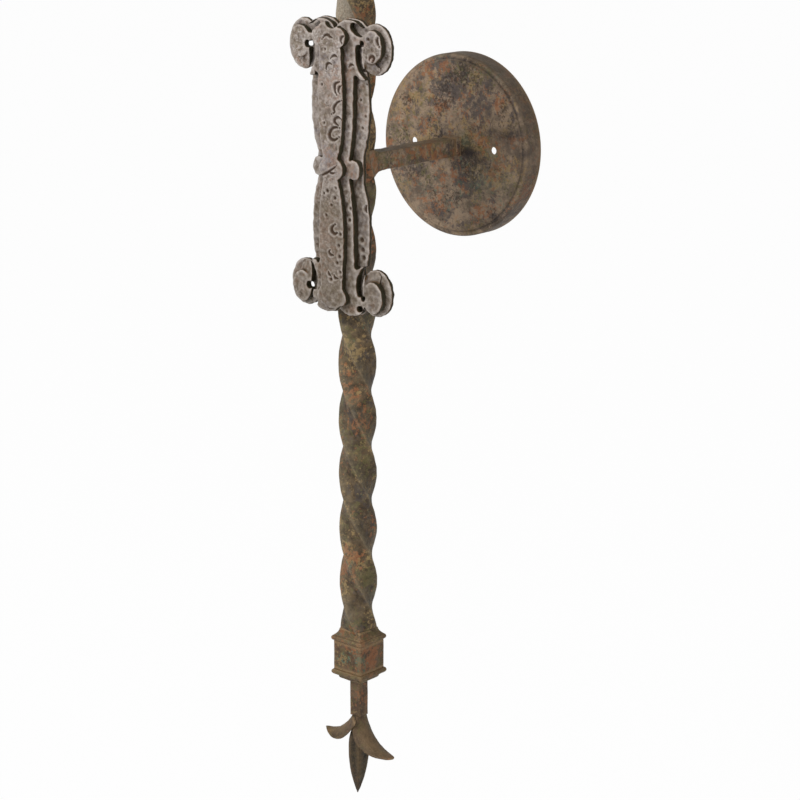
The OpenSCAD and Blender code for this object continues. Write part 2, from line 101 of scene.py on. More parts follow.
class Roughness:
    """Repeatable random fields in space, for hammer marks, scale and wear.

    Attributes:
        AXIS_FACTORS: Numbers that a lattice point's coordinates are multiplied by.
        MIXER: Number that the seed and the mixed bits are multiplied by.
        WORD: Mask of the lowest 32 bits.
        HALF_WORD: Mask of the lowest 16 bits.
    """

    AXIS_FACTORS = np.array([374761393, 668265263, 1103515245])
    MIXER = 1274126177
    WORD = 0xFFFFFFFF
    HALF_WORD = 0xFFFF

    @classmethod
    def scatter(cls, cell: Array, seed: int) -> Array:
        """Random value of a lattice point: its three whole numbers, multiplied and bit-mixed.

        Args:
            cell: Whole coordinates, one row for each point.
            seed: Number of the field.

        Returns:
            Values from 0 to 1.
        """
        mixed = (cell @ cls.AXIS_FACTORS + seed * cls.MIXER) & cls.WORD
        mixed = ((mixed ^ (mixed >> 13)) * cls.MIXER) & cls.WORD
        return ((mixed ^ (mixed >> 16)) & cls.HALF_WORD) / cls.HALF_WORD

    @classmethod
    def smooth(cls, points: Array, size: float, seed: int) -> Array:
        """Soft random field: lattice values blended by 3t^2 - 2t^3 along each axis.

        Args:
            points: Places, one row each, in millimetres.
            size: Distance between lattice points.
            seed: Number of the field.

        Returns:
            Values from -1 to 1.
        """
        place = points / size
        cell = np.floor(place).astype(np.int64)
        share = place - cell
        share = share * share * (3 - 2 * share)
        total = np.zeros(len(points))
        for corner in product((0, 1), repeat=3):
            weight = np.prod(np.where(corner, share, 1 - share), axis=1)
            total += weight * cls.scatter(cell + np.array(corner), seed)
        return 2 * total - 1

    @classmethod
    def layered(cls, points: Array, size: float, octaves: int, seed: int) -> Array:
        """Sum of soft fields, each half as large and half as strong as the one before."""
        layers = (cls.smooth(points, size / 2 ** k, seed + k) / 2 ** k for k in range(octaves))
        return sum(layers) / (2 - 2 / 2 ** octaves)

    @classmethod
    def hammered(cls, points: Array, size: float, seed: int) -> Array:
        """Dents of a hammer: the distance to the nearest of a set of scattered points.

        Args:
            points: Places, one row each, in millimetres.
            size: Usual distance between two blows.
            seed: Number of the field.

        Returns:
            Height from -1 at a blow's middle to about 1 at a ridge between blows.
        """
        place = points / size
        cell = np.floor(place).astype(np.int64)
        nearest = np.full(len(points), 9.0)
        for step in product((-1, 0, 1), repeat=3):
            near = cell + np.array(step)
            blow = near + np.stack([cls.scatter(near, seed + k) for k in range(3)], axis=1)
            nearest = np.minimum(nearest, np.sum((place - blow) ** 2, axis=1))
        return np.clip(2.2 * np.sqrt(nearest) - 1, -1, 1)


@dataclass(frozen=True)
class Forging:
    """How far hammer and rust have moved a surface, in millimetres.

    Attributes:
        blow: Depth of the hammer marks.
        blow_size: Distance between two hammer marks.
        wave: Height of the long unevenness.
        wave_size: Length of the long unevenness.
        scale: Height of the fine rust scale.
        scale_size: Size of the fine rust scale.
        seed: Number of the random fields.
    """

    blow: float = 0.16
    blow_size: float = 8.0
    wave: float = 0.2
    wave_size: float = 16.0
    scale: float = 0.09
    scale_size: float = 2.6
    seed: int = 1

    def height(self, points: Array) -> Array:
        """Height of the rough surface over the smooth one at each point."""
        return (self.blow * (Roughness.hammered(points, self.blow_size, self.seed) - 0.3)
                + self.wave * Roughness.layered(points, self.wave_size, 2, self.seed + 20)
                + self.scale * Roughness.layered(points, self.scale_size, 2, self.seed + 40))


# --------------------------------------------------------------------- surfaces


class Skin:
    """Points and edges of a mesh as arrays, so that a whole surface moves at once."""

    def __init__(self, piece: bpy.types.Object) -> None:
        """Reads a piece's mesh.

        Args:
            piece: Object with a mesh in metres.
        """
        self.mesh = piece.data
        count = len(self.mesh.vertices)
        flat = np.empty(3 * count, np.float32)
        self.mesh.vertices.foreach_get("co", flat)
        self.points = flat.reshape(-1, 3).astype(float) / MM
        ends = np.empty(2 * len(self.mesh.edges), np.int32)
        self.mesh.edges.foreach_get("vertices", ends)
        self.ends = ends.reshape(-1, 2)
        self.degree = np.maximum(np.bincount(ends, minlength=count), 1)[:, None]

    def neighbours(self, values: Array) -> Array:
        """Mean of the values at each point's neighbours.

        Args:
            values: Values, one row for each point.

        Returns:
            The means, one row for each point.
        """
        start, stop = self.ends.T
        count = len(values)
        total = np.stack([
            np.bincount(start, values[stop, k], count) + np.bincount(stop, values[start, k], count)
            for k in range(values.shape[1])], axis=1)
        return total / self.degree

    def relaxed(self, points: Array, rounds: int) -> Array:
        """Points moved halfway to their neighbours' mean, a number of times over.

        Args:
            points: Places, one row each.
            rounds: Number of moves.

        Returns:
            The smoothed places.
        """
        for _ in range(rounds):
            points = 0.5 * points + 0.5 * self.neighbours(points)
        return points

    def normals(self) -> Array:
        """Reads the mesh's normals.

        Returns:
            Directions that the surface faces at its points.
        """
        flat = np.empty(3 * len(self.points), np.float32)
        self.mesh.vertex_normals.foreach_get("vector", flat)
        return flat.reshape(-1, 3).astype(float)

    def write(self) -> None:
        """Puts the points back into the mesh."""
        self.mesh.vertices.foreach_set("co", (self.points * MM).astype(np.float32).ravel())
        self.mesh.update()

    def press(self, height: Array) -> None:
        """Moves every point out along its normal by its own height."""
        self.points = self.points + self.normals() * height[:, None]
        self.write()

    def mark(self, name: str, values: Array) -> None:
        """Keeps a value for each point, for the materials to read."""
        layer = self.mesh.attributes.new(name, "FLOAT", "POINT")
        layer.data.foreach_set("value", values.astype(np.float32))

    def mark_wear(self, rounds: int, depth: float, cut: Union[Array, float] = 0.0,
                  calm: Union[Array, float] = 1.0) -> None:
        """Keeps how far each point stands out of its relaxed surroundings, and which way it faces.

        Args:
            rounds: Rounds of relaxing that make the surroundings.
            depth: Height in millimetres that counts as a full ridge or hollow.
            cut: Share from 0 to 1 by which each point in a graver's cut is darkened, as dark patina
                and painted shade.
            calm: Share of the wear that shows at each point.
        """
        normals = self.normals()
        lifted = self.points - self.relaxed(self.points, rounds)
        standing = calm * np.sum(lifted * normals, axis=1)
        self.mark("ridge", np.clip(standing / depth, 0, 1))
        self.mark("hollow", np.clip(np.maximum(-standing / depth, cut), 0, 1))
        self.mark("side", 1 - np.abs(normals[:, 1]))
        self.mark("top", np.clip(normals[:, 2], 0, 1))


def add_piece(name: str, points: Array, faces: Sequence[Sequence[int]]) -> bpy.types.Object:
    """Makes an object from points and faces.

    Args:
        name: Name of the piece.
        points: Places, one row each, in millimetres.
        faces: Numbers of each face's points.

    Returns:
        The new object, smooth and linked to the scene.
    """
    mesh = bpy.data.meshes.new(name)
    mesh.from_pydata((points * MM).tolist(), [], faces)
    mesh.polygons.foreach_set("use_smooth", np.ones(len(mesh.polygons), bool))
    mesh.update()
    piece = bpy.data.objects.new(name, mesh)
    bpy.context.scene.collection.objects.link(piece)
    return piece


def loft(name: str, grid: Array, capped: bool = True) -> bpy.types.Object:
    """Makes a closed surface from a grid of points.

    Rows follow one another along the piece and columns run round it, so the
    last column joins the first. A capped piece ends in a point at the middle
    of its first and last rows, and one without caps joins its last row to its
    first, as the wall of a cup does.

    Args:
        name: Name of the piece.
        grid: Points as rows, columns and coordinates, in millimetres.
        capped: Whether the first and last rows are closed.

    Returns:
        The new object.
    """
    rows, columns = grid.shape[:2]
    index = np.arange(rows * columns).reshape(rows, columns)
    lower, upper = (index[:-1], index[1:]) if capped else (index, np.roll(index, -1, axis=0))
    faces = np.stack([lower, np.roll(lower, -1, 1), np.roll(upper, -1, 1), upper], axis=2)
    faces = faces.reshape(-1, 4).tolist()
    points = grid.reshape(-1, 3)
    if capped:
        ring = np.arange(columns)
        foot, head = len(points), len(points) + 1
        points = np.vstack([points, grid[0].mean(0), grid[-1].mean(0)])
        last = ring + (rows - 1) * columns
        faces += np.stack([np.roll(ring, -1), ring, np.full(columns, foot)], 1).tolist()
        faces += np.stack([last, np.roll(last, -1), np.full(columns, head)], 1).tolist()
    return add_piece(name, points, faces)


def round_angles(columns: int) -> Array:
    """Angles once round a section, evenly spaced."""
    return np.linspace(0, 2 * math.pi, columns, endpoint=False)


def corner_angles(columns: int) -> Array:
    """Angles once round a square, closer together near its corners.

    Each quarter runs from -45 to 45 degrees as 45 * (1.5s - 0.5s^3), with s from -1 to 1.

    Args:
        columns: Number of angles, a multiple of four.

    Returns:
        The angles in radians.
    """
    per_side = columns // 4
    s = np.linspace(-1, 1, per_side, endpoint=False)
    quarter = math.pi / 4 * (1.5 * s - 0.5 * s ** 3)
    return (quarter[None, :] + np.arange(4)[:, None] * math.pi / 2).ravel()


def soft_square(angles: Array, hardness: float) -> Array:
    """Radius of a soft square of half side 1: (|cos|^p + |sin|^p)^(-1/p), p the hardness."""
    power = np.abs(np.cos(angles)) ** hardness + np.abs(np.sin(angles)) ** hardness
    return power ** (-1 / hardness)


def eased(values: Array) -> Array:
    """Slow start and slow end from 0 to 1: 3t^2 - 2t^3."""
    t = np.clip(values, 0, 1)
    return t * t * (3 - 2 * t)


def revolve(name: str, radii: Array, heights: Array, columns: int,
            capped: bool) -> bpy.types.Object:
    """Turns a profile once round the Z axis.

    Args:
        name: Name of the piece.
        radii: Distance of each profile point from the axis.
        heights: Height of each profile point.
        columns: Number of steps round.
        capped: Whether the profile's ends close on the axis.

    Returns:
        The new object.
    """
    angles = round_angles(columns)
    grid = np.stack([
        radii[:, None] * np.cos(angles), radii[:, None] * np.sin(angles),
        np.repeat(heights[:, None], columns, axis=1)], axis=2)
    return loft(name, grid, capped)


# --------------------------------------------------------------------- finishes

BUMP_GAIN = 4  # noise stays near its middle, so bumps are raised by this factor
Value = Union["Wire", float]


class Wire:
    """An output of a shader node, on which arithmetic adds Math nodes."""

    def __init__(self, tree: "Tree", socket: bpy.types.NodeSocket) -> None:
        """Wraps a socket.

        Args:
            tree: Tree that the socket is in.
            socket: The output.
        """
        self.tree = tree
        self.socket = socket

    def maths(self, operation: str, first: Value, second: Value = 0.0,
              clamp: bool = False) -> "Wire":
        """Adds one Math node and returns its result."""
        return self.tree.node("ShaderNodeMath", {"operation": operation, "use_clamp": clamp},
                              {0: first, 1: second})

    def __add__(self, other: Value) -> "Wire":
        """This value plus another."""
        return self.maths("ADD", self, other)

    __radd__ = __add__

    def __mul__(self, other: Value) -> "Wire":
        """This value times another."""
        return self.maths("MULTIPLY", self, other)

    __rmul__ = __mul__

    def __sub__(self, other: Value) -> "Wire":
        """This value less another."""
        return self.maths("SUBTRACT", self, other)

    def __rsub__(self, other: Value) -> "Wire":
        """Another value less this one."""
        return self.maths("SUBTRACT", other, self)

    def clamped(self) -> "Wire":
        """This value kept between 0 and 1."""
        return self.maths("ADD", self, 0.0, clamp=True)


class Tree:
    """The node tree of one material."""

    def __init__(self, name: str) -> None:
        """Starts a material with an empty tree.

        Args:
            name: Name of the material.
        """
        self.material = bpy.data.materials.new(name)
        self.material.use_nodes = True
        self.nodes = self.material.node_tree.nodes
        self.nodes.clear()
        self.place = self.node("ShaderNodeTexCoord", {}, {}, "Object")

    def node(self, kind: str, settings: dict, inputs: dict, output: Union[int, str] = 0) -> Wire:
        """Adds one node.

        Args:
            kind: Type of the node.
            settings: Its properties.
            inputs: Values or wires by socket name or number.
            output: Name or number of the output wanted.

        Returns:
            The output as a wire.
        """
        node = self.nodes.new(kind)
        for key, value in settings.items():
            setattr(node, key, value)
        for key, value in inputs.items():
            if isinstance(value, Wire):
                self.material.node_tree.links.new(value.socket, node.inputs[key])
            elif isinstance(value, tuple) and len(value) == 3 and node.inputs[key].type == "RGBA":
                node.inputs[key].default_value = (*value, 1.0)
            else:
                node.inputs[key].default_value = value
        return Wire(self, node.outputs[output])

    def noise(self, size: float, detail: float = 4.0, seed: float = 0.0,
              rough: float = 0.55) -> Wire:
        """Adds cloudy noise.

        Args:
            size: About how far its clouds are across, in millimetres.
            detail: Number of finer layers.
            seed: Place in the noise.
            rough: Strength of the finer layers.

        Returns:
            Its value, from about 0 to 1.
        """
        place = self.node("ShaderNodeMapping", {}, {
            "Vector": self.place, "Location": (seed, 1.7 * seed, -0.6 * seed)})
        return self.node("ShaderNodeTexNoise", {}, {
            "Vector": place, "Scale": 1 / (size * MM), "Detail": detail, "Roughness": rough})

    def mask(self, value: Wire, start: float, width: float) -> Wire:
        """Share from 0 at a start value to 1 at start plus width."""
        return ((value - start) * (1 / width)).clamped()

    def mark(self, name: str) -> Wire:
        """Value that a piece keeps at its points."""
        return self.node("ShaderNodeAttribute", {"attribute_name": name}, {}, "Fac")

    def blend(self, share: Value, under: Union[Wire, Colour], over: Union[Wire, Colour]) -> Wire:
        """Mix of two colours: the upper one shows by the share."""
        return self.node("ShaderNodeMix", {"data_type": "RGBA"}, {0: share, 6: under, 7: over}, 2)

    def shine(self, **sockets: Union[Value, Colour]) -> bpy.types.Material:
        """Closes the tree with a Principled shader.

        Args:
            **sockets: Its values or wires, with underscores for blanks.

        Returns:
            The finished material.
        """
        named = {key.replace("_", " "): value for key, value in sockets.items()}
        shader = self.node("ShaderNodeBsdfPrincipled", {}, named)
        self.node_out(shader)
        return self.material

    def node_out(self, shader: Wire) -> None:
        """Joins a shader to the material's surface."""
        out = self.nodes.new("ShaderNodeOutputMaterial")
        self.material.node_tree.links.new(shader.socket, out.inputs["Surface"])


@dataclass(frozen=True)
class Patch:
    """Granular flecks of one colour in a patina, dense in some regions and rare in others.

    Attributes:
        colour: Their linear colour.
        size: Size of a cluster of flecks in millimetres.
        start: Noise value at which the flecks begin: higher leaves fewer.
        width: Noise range over which their edge fades.
        share: How far they cover what is below.
        seed: Place in the noise.
        region: Size of the regions in millimetres.
    """

    colour: Colour
    size: float
    start: float
    width: float
    share: float
    seed: float
    region: float = 26.0

    def cover(self, tree: Tree) -> Wire:
        """Covers a share of each place: fine noise plus 0.7 of a broad one, cut off.

        Args:
            tree: Tree of the finish.

        Returns:
            The share.
        """
        grain = tree.noise(self.size, detail=7, seed=self.seed, rough=0.72)
        broad = tree.noise(self.region, detail=2, seed=self.seed + 4.3)
        return tree.mask(grain + (broad - 0.5) * 0.7, self.start, self.width) * self.share


@dataclass(frozen=True)
class Patina:
    """Mottled finish of rusted, waxed iron.

    Attributes:
        name: Name of the material.
        shade: Darker ground colour.
        ground: Lighter ground colour.
        patches: Flecks laid over the ground, one after another.
        ridge: Colour of the ridges: rubbed wear and a painted highlight.
        hollow: Colour of hollows and crevices, and of the cuts, where it is dark patina and painted
            shade.
        dust: Colour of what has settled on faces that look up.
        border: Colour of the band where a face turns into a wall.
        side: Colour of the walls that face sideways: dark patina and painted shade.
        side_share: How far the walls take border and side colours.
        stain_and_shade: Colour of the stained places and of places in painted shade and painted
            shadow.
        tint: Colour of the tinted places.
        rough: Roughness of the smoothest places.
        metal: Share of bare metal.
        grain: Height of the fine bumps in millimetres.
        sheen: Strength of the clear reflection.
    """

    name: str
    shade: Colour
    ground: Colour
    patches: tuple[Patch, ...]
    ridge: Colour
    hollow: Colour
    dust: Colour
    border: Colour
    side: Colour
    side_share: float = 0.0
    stain_and_shade: Colour = (0.03, 0.024, 0.02)
    tint: Colour = (0.1, 0.14, 0.1)
    rough: float = 0.44
    metal: float = 0.2
    grain: float = 0.16
    sheen: float = 0.35

    def make(self) -> bpy.types.Material:
        """Builds the material: colour, roughness and bumps from the same fine noise.

        Returns:
            The material.
        """
        tree = Tree(self.name)
        fine = tree.noise(size=1.3, detail=4, seed=5.7, rough=0.65)
        hollow = (tree.mark("hollow") * 1.4).clamped()
        colour = self.colour(tree, fine, hollow)
        clouds = tree.noise(size=5, detail=4, seed=7.7, rough=0.7)
        rough = clouds * 0.4 + (self.rough - 0.14) + hollow * 0.25
        height = fine * 0.5 + tree.noise(size=3.6, detail=5, seed=2.2, rough=0.7) * 1.5
        bump = tree.node("ShaderNodeBump", {}, {
            "Strength": 1.0, "Distance": self.grain * MM * BUMP_GAIN, "Height": height})
        return tree.shine(Base_Color=colour, Roughness=rough, Metallic=self.metal,
                          Specular_IOR_Level=self.sheen, Normal=bump)

    def colour(self, tree: Tree, fine: Wire, hollow: Wire) -> Wire:
        """Lays the colours over one another: ground, flecks, dust, tint, stains and painted shade,
        ridges with a painted highlight, hollows, and walls in painted shade.

        Args:
            tree: Tree of the material.
            fine: Fine noise that makes every layer's edge uneven.
            hollow: Share by which a place is a hollow.

        Returns:
            The colour.
        """
        uneven = (fine - 0.5) * 1.2
        mottle = tree.mask(tree.noise(size=8, detail=8, seed=3.1, rough=0.7), 0.42, 0.17)
        colour = tree.blend(mottle, self.shade, self.ground)
        for patch in self.patches:
            colour = tree.blend(patch.cover(tree), colour, patch.colour)
        tint, stain_and_shade = tree.mark("tint"), tree.mark("stain_and_shade")
        # Tint is rust and green, and a painted highlight on the bar's lit facets; the stain layer
        # holds stains and painted shadow and shade; ridges take rubbed wear and a painted highlight.
        layers = ((tree.mark("top") * (fine * 1.1), self.dust),
                  (tint + tint * uneven * 2.5, self.tint), (stain_and_shade + stain_and_shade * uneven * 1.5, self.stain_and_shade),
                  (tree.mark("ridge") * (fine * 1.5), self.ridge), (hollow * 0.9, self.hollow))
        for share, layer in layers:
            colour = tree.blend(share.clamped(), colour, layer)
        # Walls that face sideways take a band colour at their edge, then a dark colour that is patina
        # and painted shade between the stacked plates.
        if self.side_share:
            side = tree.mark("side") + uneven * 0.3
            for start, layer in ((0.28, self.border), (0.55, self.side)):
                colour = tree.blend(tree.mask(side, start, 0.25) * self.side_share, colour, layer)
        return colour


@dataclass(frozen=True)
class Plain:
    """Even finish of a small part, with a faint cloudy change of tone.

    Attributes:
        name: Name of the material.
        light: Colour of the lighter places.
        dark: Colour of the darker places.
        size: Size of the clouds in millimetres.
        rough: Lowest roughness.
        metal: Share of bare metal.
        grain: Height of the fine bumps in millimetres.
    """

    name: str
    light: Colour
    dark: Colour
    size: float = 6.0
    rough: float = 0.35
    metal: float = 0.0
    grain: float = 0.02

    def make(self) -> bpy.types.Material:
        """Builds the material.

        Returns:
            The material.
        """
        tree = Tree(self.name)
        cloud = tree.noise(self.size, detail=4, seed=1.3)
        colour = tree.blend(tree.mask(cloud, 0.35, 0.3), self.dark, self.light)
        bump = tree.node("ShaderNodeBump", {}, {
            "Strength": 0.6, "Distance": self.grain * MM * BUMP_GAIN,
            "Height": tree.noise(size=0.9, detail=2, seed=4.4)})
        return tree.shine(Base_Color=colour, Roughness=cloud * 0.2 + (self.rough - 0.05),
                          Metallic=self.metal, Normal=bump)


@dataclass(frozen=True)
class ClearGlass:
    """Clear blown glass of the bulb, slightly warm.

    Attributes:
        name: Name of the material.
        tint: Its linear colour.
        rough: Roughness.
        cover: Share by which it hides what is behind it.
        coat: Strength of its polish.
        ior: Index of refraction.
    """

    name: str = "blown_glass"
    tint: Colour = (0.97, 0.95, 0.9)
    rough: float = 0.04
    cover: float = 0.28
    coat: float = 0.6
    ior: float = 1.45

    def make(self) -> bpy.types.Material:
        """Builds the material."""
        return Tree(self.name).shine(Base_Color=self.tint, Roughness=self.rough, Alpha=self.cover,
                                     Coat_Weight=self.coat, IOR=self.ior)


RUST = paint(156, 100, 62)
TAN = paint(168, 140, 92)
OLIVE = paint(104, 98, 56)
TEAL = paint(82, 114, 96)
SLATE = paint(72, 66, 68)
UMBER = paint(50, 38, 28)


class Finish(Enum):
    """Finishes of the sconce."""

    FRAME_IRON = Patina(
        "frame_iron", shade=paint(62, 49, 34), ground=paint(102, 84, 60),
        patches=(Patch(SLATE, 4.5, 0.57, 0.06, 0.55, 1.3), Patch(OLIVE, 4, 0.56, 0.06, 0.65, 6.1),
                 Patch(TAN, 3, 0.57, 0.06, 0.7, 4.4), Patch(RUST, 3, 0.585, 0.05, 0.75, 8.8),
                 Patch(TEAL, 3, 0.66, 0.05, 0.6, 2.9), Patch(UMBER, 2, 0.59, 0.05, 0.7, 11.7)),
        ridge=paint(170, 152, 122), hollow=paint(40, 30, 18), dust=paint(160, 152, 126),
        # tint here is a painted highlight on the bar's facets that face the lamp
        border=UMBER, side=UMBER, tint=paint(176, 164, 146))
    CANOPY_IRON = Patina(
        "canopy_iron", shade=paint(110, 95, 80), ground=paint(160, 138, 115),
        patches=(Patch(SLATE, 4.5, 0.54, 0.06, 0.7, 2.3, 34), Patch(TAN, 3, 0.57, 0.05, 0.6, 5.4),
                 Patch(OLIVE, 3.5, 0.58, 0.06, 0.6, 7.1), Patch(RUST, 3, 0.57, 0.05, 0.65, 9.8, 16),
                 Patch(TEAL, 2.4, 0.66, 0.05, 0.5, 3.9), Patch(UMBER, 1.8, 0.585, 0.05, 0.7, 12.7)),
        ridge=paint(146, 118, 86), hollow=paint(50, 36, 24), dust=paint(112, 100, 80),
        # stain colour: painted shadow of the arm, painted shade at the step and rim, and stains
        border=UMBER, side=UMBER, stain_and_shade=paint(46, 38, 36), tint=paint(88, 104, 80))
    CARTOUCHE_IRON = Patina(
        "cartouche_iron", shade=paint(130, 116, 104), ground=paint(176, 164, 156),
        patches=(Patch(paint(138, 132, 138), 4, 0.55, 0.06, 0.5, 1.9),
                 Patch(paint(160, 128, 110), 3.4, 0.56, 0.06, 0.6, 4.4),
                 Patch(paint(116, 102, 80), 3.4, 0.56, 0.06, 0.65, 6.6),
                 Patch(paint(128, 82, 50), 2.4, 0.63, 0.05, 0.65, 8.1),
                 Patch(paint(206, 198, 192), 2.6, 0.61, 0.05, 0.6, 10.2),
                 Patch(paint(76, 62, 44), 1.8, 0.6, 0.05, 0.65, 12.4)),
        # ridge: rubbed wear and a painted highlight on the edges
        ridge=paint(204, 194, 186), hollow=paint(62, 42, 24), dust=paint(176, 166, 154),
        # side: dark patina and painted shade on the plates' walls
        border=paint(104, 72, 40), side=paint(44, 42, 22), side_share=0.94,
        # This colour darkens the plates towards their bottom.
        stain_and_shade=paint(106, 94, 76), tint=paint(150, 82, 40), rough=0.4, metal=0.12, grain=0.26)
    FINIAL_IRON = Patina(
        "finial_iron", shade=paint(76, 58, 42), ground=paint(112, 89, 66),
        patches=(Patch(OLIVE, 3.4, 0.55, 0.07, 0.6, 3.3), Patch(TAN, 2.4, 0.59, 0.06, 0.55, 5.2),
                 Patch(RUST, 3.2, 0.57, 0.06, 0.65, 7.1), Patch(TEAL, 3.4, 0.635, 0.05, 0.6, 9.9),
                 Patch(UMBER, 2, 0.59, 0.06, 0.6, 12.2)),
        ridge=paint(146, 120, 88), hollow=paint(38, 28, 18), dust=paint(112, 94, 68),
        border=UMBER, side=UMBER, stain_and_shade=paint(42, 34, 18))
    STEEL = Plain("zinc_steel", paint(178, 180, 184), paint(140, 142, 146), metal=0.9)
    BRASS = Plain("lamp_brass", paint(206, 172, 100), paint(164, 128, 66), metal=0.9, rough=0.3)
    CANDLE = Plain("candle_wax", paint(232, 222, 196), paint(214, 200, 168), size=18, rough=0.5)
    SOCKET = Plain("socket_black", paint(38, 36, 36), paint(26, 25, 25), rough=0.45)
    GLASS = ClearGlass()


class Paintbox:
    """Makes each finish once and puts it on pieces."""

    def __init__(self) -> None:
        """Starts with no material made."""
        self.made: dict[Finish, bpy.types.Material] = {}

    def material(self, finish: Finish) -> bpy.types.Material:
        """Looks up the material of a finish, which is made when it is first wanted.

        Args:
            finish: The finish.

        Returns:
            Its material.
        """
        if finish not in self.made:
            self.made[finish] = finish.value.make()
        return self.made[finish]

    def dress(self, piece: bpy.types.Object, finish: Finish) -> None:
        """Gives a piece one finish.

        Args:
            piece: New piece or model node.
            finish: The finish it takes.
        """
        material = self.material(finish)
        if piece.material_slots:
            for slot in piece.material_slots:
                slot.material = material
        else:
            piece.data.materials.append(material)

    def stand_in(self, piece: bpy.types.Object, finish: Finish, slot: Slot, *nodes: str,
                 body: Body = Body.IRONWORK) -> None:
        """Dresses a piece and lets it stand for model nodes.

        Args:
            piece: The new piece.
            finish: The finish it takes.
            slot: Material slot of the model. It is not used.
            *nodes: Nodes that it replaces.
            body: Body that it rides on.
        """
        self.dress(piece, finish)
        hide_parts(*nodes)
        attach(piece, body.value)
        faces = len(piece.data.polygons)
        log.info("%s: %d faces, stands for %s", piece.name, faces, ", ".join(nodes))

    def dress_nodes(self, finish: Finish, *nodes: str) -> None:
        """Gives a finish to model nodes that keep their own meshes.

        Args:
            finish: The finish they take.
            *nodes: Their names.
        """
        for node in nodes:
            self.dress(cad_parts[node], finish)
            log.info("%s: own mesh, %s", node, finish.name)


# ----------------------------------------------------------------- sub-assemblies


@dataclass
class Wear:
    """How a finished surface is roughened and its ridges are found.

    Attributes:
        forging: Hammer marks and scale.
        rounds: Rounds of relaxing that make the surroundings.
        depth: Height in millimetres that counts as a full ridge or hollow.
        seam: Height at which the piece runs on into another.
        seam_reach: Distance from the seam within which the wear fades in.
    """

    forging: Forging = field(default_factory=Forging)
    rounds: int = 8
    depth: float = 0.45
    seam: Optional[float] = None
    seam_reach: float = 5.0

    def apply(self, piece: bpy.types.Object) -> None:
        """Presses the hammer marks into a piece and marks its ridges and hollows.

        At a seam neither ridges nor hollows show.

        Args:
            piece: The piece.
        """
        skin = Skin(piece)
        skin.press(self.forging.height(skin.points))
        calm = 1.0
        if self.seam is not None:
            calm = eased(np.abs(skin.points[:, 2] - self.seam) / self.seam_reach)
        skin.mark_wear(self.rounds, self.depth, calm=calm)


@dataclass(frozen=True)
class Blot:
    """Soft oval place on a face that has taken another colour.

    Attributes:
        x: Place of its middle along the wall, in millimetres.
        z: Height over the arm's axis.
        reach_x: Half width.
        reach_z: Half height.
        strength: Share at its middle.
    """

    x: float
    z: float
    reach_x: float
    reach_z: float
    strength: float

    def share(self, points: Array) -> Array:
        """Share of the blot at each point: a bell curve of the distance in reaches."""
        across, up = (points[:, 0] - self.x) / self.reach_x, (points[:, 2] - self.z) / self.reach_z
        return self.strength * np.exp(-across ** 2 - up ** 2)


# The first three blots are the arm's painted shadow, to its right and below; the others are stains.
CANOPY_SHADOW_AND_STAINS = (Blot(15, -4, 9, 4, 1.0), Blot(24, -8, 9, 3, 0.8), Blot(34, -12, 9, 2.4, 0.5),
                 Blot(46, 11, 13, 6, 0.75), Blot(60, 2, 4, 30, 0.6), Blot(-40, -34, 12, 9, 0.3))
CANOPY_GREENS = (Blot(10, 5, 7, 6, 0.45), Blot(35, -3, 6, 5, 0.5), Blot(-35, -6, 5, 4, 0.35),
                 Blot(34, -20, 16, 10, 0.25))


